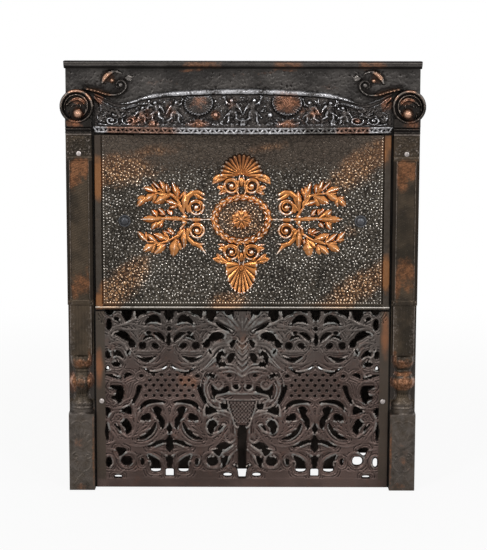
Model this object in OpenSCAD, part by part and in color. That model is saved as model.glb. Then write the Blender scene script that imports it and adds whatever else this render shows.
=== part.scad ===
// Cast iron fireplace front with its firebox. Millimetres, +Z up, +X to the viewer's right.
// The front faces -Y, and the origin is on the hearth, in the middle of the opening.

/* [Frame] */
// Width over the two pilasters
frame_w = 616; // [560:2:680]
// Height from the hearth to the top of the cornice
frame_h = 762; // [730:2:810]
// Width of a pilaster
pilaster_w = 45.5; // [40:0.5:54]
// Depth of the pilaster's shaft in front of its jamb
shaft_d = 15; // [10:0.5:22]
// How far the base block stands in front of the shaft
base_step = 7; // [3:0.5:12]
// Height of the base block
base_h = 140; // [110:1:160]
// Height of the baluster with its foot and cap
baluster_h = 103; // [80:1:120]
// Height of the reeded shaft above the baluster
reed_h = 96; // [60:1:110]
// Thickness of the jambs
jamb_t = 6; // [5:0.5:9]
// How far a jamb laps behind the front on each side
jamb_lap = 16; // [14:0.5:22]
// Thickness of the header plate
header_t = 8; // [6:0.5:12]
// Height of the header field, from the jambs' tops to the cornice
header_h = 104; // [92:0.5:114]
// How far the capital's lower edge lies below the jamb's top
capital_lap = 7.5; // [5:0.5:10]
// Height of the capital block
capital_h = 25.5; // [20:0.5:32]
// Radius of the volute
volute_r = 29.5; // [24:0.5:31]
// Depth of the volute
volute_d = 20; // [16:0.5:22]
// Width of the volute's raised outer ring
ring_w = 5; // [3:0.5:7]
// Width of the groove inside that ring
groove_w = 6; // [3:0.5:8]
// Radius of the ball in the volute's eye
eye_r = 9; // [6:0.5:11]
// Height of the cornice
cornice_h = 13; // [8:0.5:20]
// How far the cornice stands in front of the header plate
cornice_d = 20; // [12:1:34]
// Height of the hearth sill
sill_h = 10; // [7:0.5:12]
// Depth of the hearth sill
sill_d = 14; // [12:0.5:20]

/* [Hood] */
// Height of the pierced band
band_h = 12; // [8:0.5:15]
// How far the hood stands off the header plate at its ends
hood_end = 6; // [5:0.5:10]
// How much further the hood bows forward in the middle
hood_bow = 30; // [16:1:40]
// Thickness of the hood's shell
hood_t = 4; // [3:0.5:6]
// Height of the rim above the band in the middle
hood_h = 66; // [50:1:70]
// Thickness of the pierced band
band_t = 3; // [2.5:0.25:3.5]

/* [Upper panel] */
// Thickness of the upper panel
panel_t = 5; // [4:0.5:7]
// Height of the upper panel's lower edge
panel_z = 325.5; // [300:0.5:350]
// Clearance at each side of the front's two pieces
side_gap = 3; // [1.5:0.25:4]
// Height of the relief on the panel
relief_t = 4; // [2:0.5:6]
// Radius of the panel's knobs
knob_r = 8; // [6:0.5:11]
// Radius of the hanger rod
rod_r = 3; // [2.5:0.25:3.5]
// Height of the hanger rod above the capital's lower edge
rod_rise = 0.5; // [0.25:0.25:1.5]
// How far the panel's top edge lies below the capital's lower edge
panel_drop = 4; // [3.5:0.5:6]
// Depth of the hanger rod behind the header plate's rear face
rod_y = 6; // [6:0.25:7]
// Distance of a panel ear from the middle
ear_x = 184; // [150:1:200]

/* [Lower grille] */
// Thickness of the grille
grille_t = 5; // [4:0.5:7]
// Gap from the hearth to the grille
grille_lift = 2; // [1:0.5:4]
// How far the raised parts stand in front of the pierced plate
raised_t = 3; // [2:0.5:5]
// Gap between the grille and the upper panel
front_gap = 3.5; // [2:0.5:6]
// Radius of the grille screw's shank
screw_r = 2.5; // [2:0.25:3]
// Radius of the screw heads
head_r = 5; // [4:0.25:6.5]
// Height of the grille screws above the hearth
screw_z = 160; // [130:1:190]

/* [Firebox] */
// How far a cheek stands outside its jamb's inner edge
cheek_set = 8.5; // [6:0.5:12]
// Width of the cheek's flange
flange_w = 24; // [20:1:28]
// Inside depth at the hearth
box_d = 118; // [110:1:150]
// Inside depth at the throat
throat_d = 104; // [100:1:110]
// Thickness of the firebox plates
plate_t = 4; // [3:0.5:6]
// Height of the throat plate's underside above the capital's lower edge
throat_rise = 30.5; // [26.5:0.5:38.5]
// Height of the lower fireback
back_h = 188; // [150:1:230]
// Height of the slit between the two backs
slit_h = 7; // [4:0.5:12]
// Width of the notch in the fireback's right corner
notch_w = 64; // [40:1:90]
// Height of that notch
notch_h = 31; // [20:1:45]
// Width of the flue opening
flue_w = 280; // [220:2:320]
// Depth of the flue opening
flue_d = 80; // [70:1:84]
// Height of the flue collar
collar_h = 40; // [24:1:60]
// Wall of the flue collar
collar_t = 6; // [4:0.5:8]
// Width of the collar's feet
foot_w = 18; // [15:0.5:24]
// Thickness of the collar's feet
foot_t = 5; // [3:0.5:8]
// Radius of the damper rod
damper_r = 4; // [3:0.25:5]
// Length of the damper's handle below its rod
handle_l = 50; // [30:1:52]
// Radius of the bolts
bolt_r = 3; // [2.5:0.25:3.5]
// Width of a square nut
nut_w = 10; // [9:0.5:12]
// Thickness of a nut
nut_t = 4; // [3:0.5:6]

/* [Hidden] */
$fn = 48;
fit = 0.05;
seat = 0.3;
half_w = frame_w / 2;
pilaster_x = half_w - pilaster_w / 2;
opening_x = half_w - pilaster_w;
front_x = opening_x - side_gap;
jamb_x = front_x - jamb_lap;
shaft_y = -jamb_t - shaft_d;
base_y = shaft_y - base_step;
header_top = frame_h - cornice_h;
header_z = header_top - header_h;
capital_z = header_z - capital_lap;
volute_z = capital_z + capital_h + volute_r - 8.5;
hood_x = pilaster_x + 2.5 - volute_r - 0.5;
band_z = capital_z - 0.5;
hood_z = band_z + band_h;
grille_top = panel_z - front_gap;
grille_h = grille_top - grille_lift;
grille_y = -jamb_t - seat - grille_t;
panel_y = -jamb_t - seat - panel_t;
rod_z = capital_z + rod_rise;
panel_top = capital_z - panel_drop;
panel_mid = (panel_z + panel_top) / 2 + 3.5;
screw_x = front_x - 9.5;
knob_x = front_x - 52.5;
box_x = jamb_x + cheek_set;
throat_z = capital_z + throat_rise;
collar_y = throat_d / 2;
damper_z = throat_z + plate_t + foot_t + damper_r + 1;
cap_z = capital_z - 41.5;
reed_z = base_h + baluster_h;
field_z = reed_z + reed_h;

// ---- outlines shared by the ornament ----

function bezier(a, c, b, t) = a * (1 - t) * (1 - t) + c * 2 * t * (1 - t) + b * t * t;
function bezier_side(a, c, b, t) =
    let (d = (c - a) * (1 - t) + (b - c) * t) [-d[1], d[0]] / norm(d);

// A band along the curve from a to b that is pulled towards c, w0 wide at a and w1 wide at b.
module ribbon(a, c, b, w0, w1, steps = 6) {
    left = [for (i = [0:steps]) let (t = i / steps, w = w0 + (w1 - w0) * t)
        bezier(a, c, b, t) + bezier_side(a, c, b, t) * w / 2];
    right = [for (i = [steps:-1:0]) let (t = i / steps, w = w0 + (w1 - w0) * t)
        bezier(a, c, b, t) - bezier_side(a, c, b, t) * w / 2];
    polygon(concat(left, right));
}

// A crescent along the same curve, w wide in the middle and pointed at both ends.
module crescent(a, c, b, w, steps = 6) {
    left = [for (i = [0:steps]) let (t = i / steps)
        bezier(a, c, b, t) + bezier_side(a, c, b, t) * (w * sin(180 * t) + 0.4) / 2];
    right = [for (i = [steps:-1:0]) let (t = i / steps)
        bezier(a, c, b, t) - bezier_side(a, c, b, t) * (w * sin(180 * t) + 0.4) / 2];
    polygon(concat(left, right));
}

// A leaf from a to b, w wide and bowed to its left by bow.
module leaf(a, b, w, bow = 0) {
    side = [a[1] - b[1], b[0] - a[0]] / norm(b - a);
    crescent(a, (a + b) / 2 + side * 2 * bow, b, w);
}

// A scroll about c that runs from radius r0 at angle a0 to r1 at a1.
module scroll(c, r0, r1, a0, a1, w0, w1) {
    steps = ceil(abs(a1 - a0) / 24);
    function spot(i, s) = let (t = i / steps, a = a0 + (a1 - a0) * t,
        r = r0 + (r1 - r0) * t + s * (w0 + (w1 - w0) * t) / 2) c + r * [cos(a), sin(a)];
    polygon(concat([for (i = [0:steps]) spot(i, 1)], [for (i = [steps:-1:0]) spot(i, -1)]));
}

module oval(c, rx, ry, turn = 0) {
    translate(c) rotate(turn) scale([1, ry / rx]) circle(r = rx, $fn = 12);
}

module both() {
    children();
    mirror([1, 0]) children();
}

// Stands a flat outline up, with its back at y and its face t in front of that.
module upright(y, t) {
    translate([0, y, 0]) rotate([90, 0, 0]) linear_extrude(t) offset(delta = 0.01) children();
}

module along_y(r, y0, y1) {
    translate([0, y0, 0]) rotate([-90, 0, 0]) cylinder(r = r, h = y1 - y0);
}

module along_x(r, x0, x1) {
    translate([x0, 0, 0]) rotate([0, 90, 0]) cylinder(r = r, h = x1 - x0);
}

module block(x0, x1, y0, y1, z0, z1) {
    translate([x0, y0, z0]) cube([x1 - x0, y1 - y0, z1 - z0]);
}

module at_corners(xs, zs) {
    for (x = xs) for (z = zs) translate([x, 0, z]) children();
}

// ---- frame ----

cheek_bolt_x = box_x + plate_t + flange_w / 2;
cheek_bolt_z = [base_h - 80, base_h - 25, field_z + 41, capital_z - 47.5];

// A flat stile behind the pilaster. The front's two pieces lap it at their edges.
module jamb(side) {
    color("#2e2b28") difference() {
        mirror([side < 0 ? 1 : 0, 0, 0]) block(jamb_x, half_w, -jamb_t, 0, 0, header_z);
        at_corners([side * screw_x], [screw_z]) along_y(screw_r + fit, -jamb_t - 1, 1);
        at_corners([side * pilaster_x], [cap_z + 6]) along_y(bolt_r + fit, -jamb_t - 1, 1);
        at_corners([side * cheek_bolt_x], cheek_bolt_z) along_y(bolt_r + fit, -jamb_t - 1, 1);
    }
}

module left_jamb() { jamb(-1); }
module right_jamb() { jamb(1); }

module hearth_sill() {
    color("#2e2b28") block(-jamb_x, jamb_x, -jamb_t, sill_d - jamb_t, 0, sill_h);
}

// Half of a turned post: a cap, a neck, a bulb that tapers down and a ringed foot.
module baluster() {
    r = pilaster_w / 2 - 2;
    h = baluster_h;
    intersection() {
        translate([0, -jamb_t, base_h]) rotate_extrude() polygon([
            [0, 0], [r, 0], [r, h * 0.06], [r * 0.93, h * 0.08], [r * 0.97, h * 0.11],
            [r * 0.93, h * 0.14], [r * 0.97, h * 0.17], [r * 0.97, h * 0.22],
            [r * 0.56, h * 0.27], [r * 0.58, h * 0.33], [r * 0.7, h * 0.42], [r * 0.9, h * 0.5],
            [r, h * 0.57], [r * 0.93, h * 0.64], [r * 0.66, h * 0.7], [r * 0.66, h * 0.76],
            [r * 0.76, h * 0.79], [r * 0.82, h * 0.85], [r * 0.92, h * 0.9], [r * 0.98, h],
            [0, h]]);
        block(-pilaster_w, pilaster_w, -60, -jamb_t, 0, frame_h);
    }
}

// One casting: base block, baluster, reeded shaft, diaper field and cap panel.
module pilaster(side) {
    w = pilaster_w;
    color("#37342c") translate([side * pilaster_x, 0, 0]) difference() {
        union() {
            block(-w / 2, w / 2, base_y, -jamb_t, 0, base_h);
            block(-w / 2, w / 2, -jamb_t - 4, -jamb_t, base_h, reed_z);
            baluster();
            block(-w / 2 + 4, w / 2 - 4, shaft_y + 4, -jamb_t, reed_z, field_z);
            for (i = [-2:2])
                translate([i * 7, shaft_y + 4, reed_z]) cylinder(r = 3, h = reed_h, $fn = 24);
            block(-w / 2, w / 2, shaft_y, -jamb_t, field_z, capital_z);
            block(-w / 2, w / 2, shaft_y - 1, shaft_y, field_z - 5, field_z + 3);
            block(-w / 2, w / 2, shaft_y - 2, shaft_y, cap_z - 3, cap_z);
            block(-w / 2, w / 2, shaft_y - 2, shaft_y, capital_z - 4, capital_z);
            for (x = [-1, 1]) translate([x * (w / 2 - 3), shaft_y, field_z])
                cylinder(r = 2.5, h = capital_z - field_z, $fn = 24);
        }
        block(-w / 2 + 8, w / 2 - 8, shaft_y - 9, shaft_y + 1.5, field_z + 8, cap_z - 8);
        translate([0, 0, cap_z + 6]) along_y(bolt_r + fit, -60, 1);
        for (z = cheek_bolt_z) translate([side * (cheek_bolt_x - pilaster_x), 0, z])
            along_y(bolt_r + fit, -jamb_t - 6, 1);
    }
}

module left_pilaster() { pilaster(-1); }
module right_pilaster() { pilaster(1); }

// A slotted head on a shank through the pilaster and its jamb.
module pilaster_screws() {
    color("#57514a") at_corners([-pilaster_x, pilaster_x], [cap_z + 6]) difference() {
        union() {
            along_y(head_r, shaft_y - 3, shaft_y);
            along_y(bolt_r, shaft_y, 4);
        }
        block(-head_r - 1, head_r + 1, shaft_y - 4, shaft_y - 1.8, -0.6, 0.6);
    }
}

// A ringed scroll with a ball at its eye, on a moulded capital block.
module volute(side) {
    y = -header_t;
    color("#3d3833") translate([side * (pilaster_x + 2.5), 0, 0]) {
        translate([0, 0, volute_z]) difference() {
            along_y(volute_r, y - volute_d, y);
            difference() {
                along_y(volute_r - ring_w, y - volute_d - 1, y - volute_d + ring_w);
                along_y(volute_r - ring_w - groove_w, y - volute_d - 2, y - volute_d + ring_w + 1);
            }
        }
        translate([-side * 2.5, 0, volute_z - 12]) intersection() {
            translate([0, y - volute_d + 1, 0]) sphere(r = eye_r);
            block(-eye_r, eye_r, y - volute_d - eye_r, y - volute_d + 1, -eye_r, eye_r);
        }
    }
    color("#3d3833") translate([side * pilaster_x, 0, 0]) {
        block(-pilaster_w / 2, pilaster_w / 2, shaft_y - 4, -header_t, capital_z, capital_z + 5);
        block(-pilaster_w / 2 + 2, pilaster_w / 2 - 2, shaft_y - 1, -header_t, capital_z + 5,
            capital_z + 10);
        block(-pilaster_w / 2, pilaster_w / 2, shaft_y - 5, -header_t, capital_z + 10,
            capital_z + capital_h);
    }
}

module left_volute() { volute(-1); }
module right_volute() { volute(1); }

bracket_x = ear_x + 10;
bracket_bolt_z = header_z + 12;

// The field behind the hood, with one small scroll on each side.
module header_plate() {
    color("#2b2926") difference() {
        union() {
            block(-half_w, half_w, -header_t, 0, header_z, header_top);
            upright(-header_t, 2) both() {
                scroll([half_w - 84, header_top - 19], 8, 15, -30, 190, 2.5, 4);
                ribbon([half_w - 99, header_top - 22], [half_w - 100, header_top - 34],
                    [half_w - 106, header_top - 38], 4, 2);
                leaf([half_w - 106, header_top - 20], [half_w - 124, header_top - 14], 7);
                oval([half_w - 86, header_top - 21], 4, 4);
            }
        }
        at_corners([-bracket_x, bracket_x], [bracket_bolt_z]) along_y(bolt_r + fit, -20, 1);
    }
}

// A run of mouldings: a fillet, a cyma, a bead and a flat top.
module cornice() {
    d = header_t + cornice_d;
    h = cornice_h;
    color("#3d3833") translate([-half_w - 1.5, 0, header_top]) rotate([90, 0, 90])
        linear_extrude(frame_w + 3) polygon([
            [0, 0], [-header_t - 4, 0], [-header_t - 5, h * 0.16], [-header_t - 7, h * 0.3],
            [-d * 0.62, h * 0.42], [-d * 0.84, h * 0.48], [-d * 0.84, h * 0.58],
            [-d * 0.94, h * 0.62], [-d, h * 0.7], [-d, h * 0.82], [-d * 0.94, h * 0.9],
            [-d * 0.9, h], [0, h]]);
}

// ---- hood ----

hood_r = (hood_x * hood_x + hood_bow * hood_bow) / (2 * hood_bow);
function bow_y(x) = header_t + hood_end + sqrt(hood_r * hood_r - x * x) - (hood_r - hood_bow);

// The rim: high in the middle, a dip near each end, and a rise to the volute.
function rim_z(x) = let (u = abs(x) / hood_x)
    hood_z + hood_h - 2 * u - 17 * exp(-pow((u - 0.84) / 0.12, 2));
function cove(v) = pow(1 - v, 1.4);
function rim_bead(v) = v > 0.9 ? 3.5 * sin(180 * (v - 0.9) / 0.1) : 0;
function hood_front(x, v) = [x,
    -header_t - hood_end - (bow_y(x) - header_t - hood_end) * cove(v) - rim_bead(v),
    hood_z + (rim_z(x) - hood_z) * v];
function hood_back(x, v) = hood_front(x, v) + [0, v > 0.87 ? hood_end + rim_bead(v)
    + (bow_y(x) - header_t - hood_end) * cove(v) : hood_t, 0];
function hood_row(v, back, n) = [for (i = [0:n]) let (x = hood_x * (2 * i / n - 1))
    back ? hood_back(x, v) : hood_front(x, v)];

// A bowed shell that springs from the header plate and flares forward to the pierced band.
module hood_frieze() {
    n = 48;
    vs = [0, 0.06, 0.2, 0.35, 0.5, 0.65, 0.8, 0.87, 0.9, 0.925, 0.95, 0.975, 1];
    m = len(vs);
    row = n + 1;
    points = concat([for (v = vs) each hood_row(v, false, n)],
        [for (v = vs) each hood_row(v, true, n)]);
    back = m * row;
    faces = concat(
        [for (j = [0:m - 2]) for (i = [0:n - 1]) for (k = [0, 1]) let (a = j * row + i)
            k == 0 ? [a, a + row, a + 1] : [a + 1, a + row, a + row + 1]],
        [for (j = [0:m - 2]) for (i = [0:n - 1]) for (k = [0, 1]) let (a = back + j * row + i)
            k == 0 ? [a, a + 1, a + row] : [a + 1, a + row + 1, a + row]],
        [for (i = [0:n - 1]) for (k = [0, 1])
            k == 0 ? [i, i + 1, back + i] : [i + 1, back + i + 1, back + i]],
        [for (i = [0:n - 1]) for (k = [0, 1]) let (a = (m - 1) * row + i)
            k == 0 ? [a, back + a, a + 1] : [a + 1, back + a, back + a + 1]],
        [for (j = [0:m - 2]) for (k = [0, 1]) let (a = j * row)
            k == 0 ? [a, back + a, a + row] : [a + row, back + a, back + a + row]],
        [for (j = [0:m - 2]) for (k = [0, 1]) let (a = j * row + n)
            k == 0 ? [a, a + row, back + a] : [a + row, back + a + row, back + a]]);
    color("#4a4540") polyhedron(points, faces);
}

// A bowed strip between two beads, pierced with triangles that point up and down by turns.
module perforated_band() {
    axis_y = hood_r - header_t - hood_end - hood_bow;
    pitch = 12;
    count = floor((hood_x - 14) / pitch);
    color("#8c8880") difference() {
        intersection() {
            translate([0, axis_y, band_z]) difference() {
                union() {
                    cylinder(r = hood_r - 1, h = band_h, $fn = 360);
                    cylinder(r = hood_r, h = 2.5, $fn = 360);
                    translate([0, 0, band_h - 2.5]) cylinder(r = hood_r, h = 2.5, $fn = 360);
                }
                translate([0, 0, -1]) cylinder(r = hood_r - band_t, h = band_h + 2, $fn = 360);
            }
            block(-hood_x, hood_x, -80, -header_t + 2, band_z - 1, band_z + band_h + 1);
        }
        for (i = [-count:count]) translate([i * pitch, 0, band_z + band_h / 2])
            rotate([90, 0, 0]) linear_extrude(80)
                polygon(i % 2 == 0 ? [[-4.5, -2.6], [4.5, -2.6], [0, 2.8]]
                    : [[-4.5, 2.6], [0, -2.8], [4.5, 2.6]]);
    }
}

// ---- upper panel ----

// Two lugs on the header's rear face carry the hanger rod.
module hanger_brackets() {
    color("#2e2b28") at_corners([-bracket_x, bracket_x], [0]) difference() {
        union() {
            block(-4, 4, 0, rod_y, rod_z, bracket_bolt_z + 8);
            translate([0, rod_y, rod_z]) along_x(rod_r + 3, -4, 4);
            block(-10, 10, 0, 4, header_z + 4, bracket_bolt_z + 8);
        }
        translate([0, rod_y, rod_z]) along_x(rod_r + fit, -5, 5);
        translate([0, 0, bracket_bolt_z]) along_y(bolt_r + fit, -1, rod_y + 1);
    }
}

module hanger_rod() {
    color("#57514a") translate([0, rod_y, rod_z]) along_x(rod_r, -bracket_x - 8, bracket_x + 8);
}

// A dome head in front of the header plate and a square nut behind each bracket.
module header_bolts() {
    color("#57514a") at_corners([-bracket_x, bracket_x], [bracket_bolt_z]) {
        along_y(head_r, -header_t - 2, -header_t);
        along_y(bolt_r, -header_t, rod_y + nut_t + 2);
        block(-nut_w / 2, nut_w / 2, rod_y, rod_y + nut_t, -nut_w / 2, nut_w / 2);
    }
}

// The plate: flat side strips, a beaded line inside them and a half-round roll below.
module upper_panel() {
    color("#38332d") difference() {
        union() {
            block(-front_x, front_x, panel_y, panel_y + panel_t, panel_z, panel_top);
            for (s = [-1, 1]) translate([s * (front_x - 6), 0, 0])
                block(-6, 6, panel_y - 1.5, panel_y, panel_z + 9, panel_top);
            intersection() {
                translate([0, panel_y, panel_z + 4.5]) along_x(3.5, -front_x, front_x);
                block(-front_x, front_x, panel_y - 9, panel_y, panel_z, panel_top);
            }
        }
        at_corners([-knob_x, knob_x], [panel_mid]) along_y(bolt_r + fit, panel_y - 9, 1);
    }
}

// Right half of the relief, measured from the middle of the wreath.
module relief_half() {
    for (i = [-3:3]) leaf([0, 64], [46 * sin(i * 17), 66 + 54 * cos(i * 17)], 11);
    scroll([17, 106], 4, 8, -60, 200, 4, 4);
    scroll([18, 60], 2, 11, 90, -220, 5, 7);
    ribbon([12, 70], [30, 90], [56, 76], 7, 3);
    scroll([18, -60], 2, 11, -90, 220, 5, 7);
    ribbon([12, -70], [30, -90], [56, -74], 7, 3);
    for (i = [-2:2]) leaf([0, -74], [24 * sin(i * 24), -86 - 52 * cos(i * 24)], 11);
    oval([99, 1], 5, 8);
    scroll([77, 22], 2, 13, 60, 330, 6, 8);
    scroll([77, -21], 2, 13, -60, -330, 6, 8);
    ribbon([88, 28], [84, 46], [64, 54], 8, 3);
    ribbon([88, -28], [84, -46], [64, -56], 8, 3);
    ribbon([55, 6], [80, 2], [99, 1], 5, 7);
    leaf([99, 8], [101, 46], 11, 2);
    leaf([99, -6], [101, -50], 11, -2);
    ribbon([99, 1], [130, 4], [166, 0], 8, 4);
    leaf([150, 1], [176, 0], 12);
    leaf([104, 4], [113, 66], 12, -6);
    leaf([112, 6], [122, 66], 11, -8);
    leaf([120, 8], [143, 70], 13, -7);
    leaf([130, 10], [157, 65], 12, -5);
    leaf([138, 8], [168, 58], 12, -4);
    leaf([146, 6], [181, 28], 12, 4);
    leaf([104, 0], [110, -36], 11, 5);
    leaf([112, -2], [120, -62], 12, 8);
    leaf([122, -4], [150, -62], 13, 8);
    leaf([132, -6], [168, -54], 12, 5);
    leaf([144, -4], [181, -27], 12, -4);
}

// Wreath, rosette, shells, scrolls and two leafy sprays, cast in low relief.
module panel_ornament() {
    fit_x = front_x / 259.5;
    fit_z = (panel_top - panel_z) / 308;
    color("#b06a3c") translate([0, 0, panel_mid]) upright(panel_y, relief_t)
        scale([fit_x, fit_z]) {
            both() relief_half();
            difference() {
                oval([0, 0], 54, 46);
                oval([0, 0], 46, 38);
            }
            for (i = [0:7]) leaf([0, 0], 16 * [cos(i * 45), sin(i * 45)], 9);
            oval([0, 0], 6, 6);
            both() leaf([0, -42], [12, -70], 9, 2);
        }
}

// Domed heads on shanks through the panel.
module panel_knobs() {
    color("#1d1b19") at_corners([-knob_x, knob_x], [panel_mid]) {
        along_y(bolt_r, panel_y - knob_r / 2, panel_y + panel_t + nut_t + 2);
        intersection() {
            translate([0, panel_y, 0]) sphere(r = knob_r);
            block(-knob_r, knob_r, panel_y - knob_r, panel_y - 1, -knob_r, knob_r);
        }
        along_y(knob_r * 0.8, panel_y - 2, panel_y);
    }
}

// Square nuts on the ends of the knobs' shanks.
module knob_nuts() {
    color("#57514a") at_corners([-knob_x, knob_x], [panel_mid]) difference() {
        block(-nut_w / 2, nut_w / 2, panel_y + panel_t, panel_y + panel_t + nut_t, -nut_w / 2,
            nut_w / 2);
        along_y(bolt_r + fit, panel_y, panel_y + panel_t + nut_t + 1);
    }
}

// Two ears behind the panel turn on the hanger rod.
module panel_ears() {
    back = panel_y + panel_t;
    color("#2e2b28") at_corners([-ear_x, ear_x], [rod_z]) difference() {
        union() {
            block(-5, 5, back, rod_y, -rod_r - 5, 0);
            translate([0, rod_y, 0]) along_x(rod_r + 2.5, -5, 5);
            block(-9, 9, back, back + 4, -26, -rod_r - 3);
        }
        translate([0, rod_y, 0]) along_x(rod_r + fit, -6, 6);
    }
}

// ---- lower grille ----

// Upper edge of one half: leaf tips with dips between them. s is 0 at the half's middle.
function tips(side) = [
    [side * 6, 313], [side * 8, 321], [side * 12, 324], [side * 16, 321], [side * 25, 324],
    [side * 39, 322], [side * 51, 317], [side * 57, 311], [side * 59, 319], [side * 62, 323],
    [side * 66, 319], [side * 69, 310], [side * 76, 306], [side * 79, 310], [side * 83, 319],
    [side * 92, 323], [side * 99, 321], [side * 106, 317], [side * 113, 323]];

module grille_outline() {
    pad = 130;
    left = [for (p = tips(-1)) [pad + p[0], p[1] - 2]];
    n = len(left) - 1;
    polygon(concat([[0, 0], [260, 0], [260, 320]],
        [for (i = [n:-1:0]) [pad - left[i][0] + pad, left[i][1]]],
        [[pad, 309]], left, [[10, 314], [6, 318], [3, 322], [0, 322]]));
}

// Openings that each half has on both sides of its middle.
module motif_holes() {
    crescent([44, 299], [24, 322], [16, 302], 11);
    crescent([98, 283], [78, 286], [68, 266], 12);
    polygon([[60, 264], [67, 274], [72, 270], [70, 260], [63, 259]]);
    polygon([[43, 257], [52, 257], [52, 266], [43, 266]]);
    crescent([45, 272], [39, 282], [29, 277], 4);
    oval([25, 261], 6, 4, 25);
    crescent([28, 284], [16, 284], [8, 269], 6);
    crescent([56, 242], [40, 230], [25, 242], 5);
    crescent([97, 242], [96, 254], [82, 240], 9);
    oval([94, 228], 7.5, 4.5);
    crescent([80, 202], [77, 211], [67, 208], 6);
    oval([50, 206], 3, 2.2);
    crescent([46, 223], [34, 208], [16, 216], 4.5);
    crescent([15, 218], [8, 219], [4, 225], 3);
    ribbon([53, 187], [56, 172], [66, 157], 7, 4);
    crescent([53, 144], [46, 164], [8, 158], 6.5);
    polygon([[86, 142], [72, 152], [68, 136], [79, 139]]);
    polygon([[86, 118], [77, 127], [69, 114], [70, 104], [77, 100], [79, 110]]);
    crescent([98, 117], [91, 113], [88, 104], 3);
    polygon([[49, 132], [37, 137], [35, 127], [49, 125]]);
    polygon([[29, 146], [22, 150], [14, 144], [17, 136], [10, 125], [11, 112], [15, 112],
        [19, 124], [24, 134]]);
    crescent([25, 120], [30, 96], [58, 90], 7);
    crescent([38, 76], [22, 84], [4, 87], 5);
    polygon([[94, 74], [78, 70], [88, 59], [93, 66]]);
    polygon([[86, 50], [82, 57], [71, 57], [68, 50], [71, 43], [82, 43]]);
    oval([49, 48], 2.6, 5.5);
    polygon([[38, 60], [30, 57], [21, 51], [17, 42], [17, 31], [33, 31], [33, 47]]);
}

// Openings beside the stile.
module outer_holes() {
    oval([107, 300], 4.5, 10);
    crescent([97, 307], [94, 314], [88, 304], 5);
    oval([108.5, 245], 4, 7);
    polygon([[112, 218], [107, 218], [109.5, 225]]);
    crescent([112, 208], [100, 206], [86, 202], 3.5);
    polygon([[103, 188], [87, 188], [82, 181], [83, 167], [90, 156], [95, 163], [103, 166],
        [97, 171], [94, 180], [102, 184]]);
    polygon([[113, 147], [106, 143], [111, 133]]);
    crescent([111, 118], [113, 104], [111, 88], 5);
    oval([109, 47], 4.5, 8.5);
    ribbon([98, 21], [92, 22], [87, 21], 3, 3);
}

// Openings on the middle line of each half.
module middle_holes() {
    oval([0, 292], 3, 3);
    crescent([0, 284], [3, 270], [0, 262], 7);
    oval([0, 110], 4, 8);
    polygon([[6, 88], [0, 98], [-6, 88], [-6, 74], [0, 66], [6, 74]]);
    polygon([[6, 59], [3, 36], [7, 34], [7, 22], [-7, 22], [-7, 34], [-3, 36], [-6, 59]]);
}

// Openings beside the shield, and the keyhole slot below it. x is 0 at the middle.
module centre_holes() {
    both() {
        polygon([[55, 187], [50, 163], [46, 172], [26, 177], [26, 187], [33, 183], [44, 179],
            [50, 184]]);
        crescent([43, 228], [46, 244], [34, 253], 8);
        oval([18, 242], 4, 5, 20);
        crescent([66, 268], [48, 280], [32, 277], 10);
        oval([11, 186], 5, 4);
        polygon([[27, 156], [21, 145], [33, 145]]);
        polygon([[65, 151], [55, 143], [65, 135]]);
        polygon([[45, 75], [35, 83], [19, 81], [31, 72]]);
        polygon([[29, 58], [36, 54], [34, 38], [28, 46], [25, 57]]);
        ribbon([20, 24], [26, 25], [32, 24], 5, 5);
    }
    polygon([[-8, 104], [-8, 110], [-5, 115], [5, 115], [8, 110], [8, 104], [7, 90], [7, 36],
        [11, 44], [13, 42], [8, 33], [6, 20], [-6, 20], [-8, 33], [-13, 42], [-11, 44], [-7, 36],
        [-7, 90]]);
}

module shield() {
    polygon([[0, 174], [42, 174], [50, 166], [38, 160], [36, 146], [20, 118], [0, 112],
        [-20, 118], [-36, 146], [-38, 160], [-50, 166], [-42, 174]]);
}

module half_at() {
    both() translate([130, 0]) children();
}

// The casting is pierced between its leaves. Rail, stiles, shield and bars stand forward.
module lower_grille() {
    fit_x = front_x / 260;
    fit_z = grille_h / 322;
    color("#564743") difference() {
        union() {
            translate([0, 0, grille_lift]) upright(grille_y + grille_t, grille_t)
                scale([fit_x, fit_z]) translate([0, -2]) difference() {
                    translate([0, 2]) both() grille_outline();
                    half_at() both() motif_holes();
                    half_at() outer_holes();
                    half_at() middle_holes();
                    centre_holes();
                }
            translate([0, 0, grille_lift]) upright(grille_y, raised_t)
                scale([fit_x, fit_z]) translate([0, -2]) {
                    shield();
                    both() translate([66, 245]) square([128, 8]);
                }
            block(-front_x, front_x, grille_y - raised_t, grille_y, grille_lift,
                grille_lift + 16 * fit_z);
            for (s = [-1, 1]) translate([s * (front_x - 8.5), 0, 0])
                block(-8, 8, grille_y - raised_t, grille_y, grille_lift + 16 * fit_z,
                    grille_lift + 300 * fit_z);
        }
        at_corners([-screw_x, screw_x], [screw_z]) along_y(screw_r + fit, grille_y - 9, 1);
    }
}

// Slotted heads that stay in the grille and draw out of the jambs with it.
module grille_screws() {
    color("#57514a") at_corners([-screw_x, screw_x], [screw_z]) difference() {
        union() {
            along_y(head_r, grille_y - raised_t - 3, grille_y - raised_t);
            along_y(screw_r, grille_y - raised_t, -seat);
        }
        block(-0.6, 0.6, grille_y - raised_t - 4, grille_y - raised_t - 1.8, -head_r - 1,
            head_r + 1);
    }
}

// ---- firebox ----

slope_z = [throat_z - 250, throat_z - 100];

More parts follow.
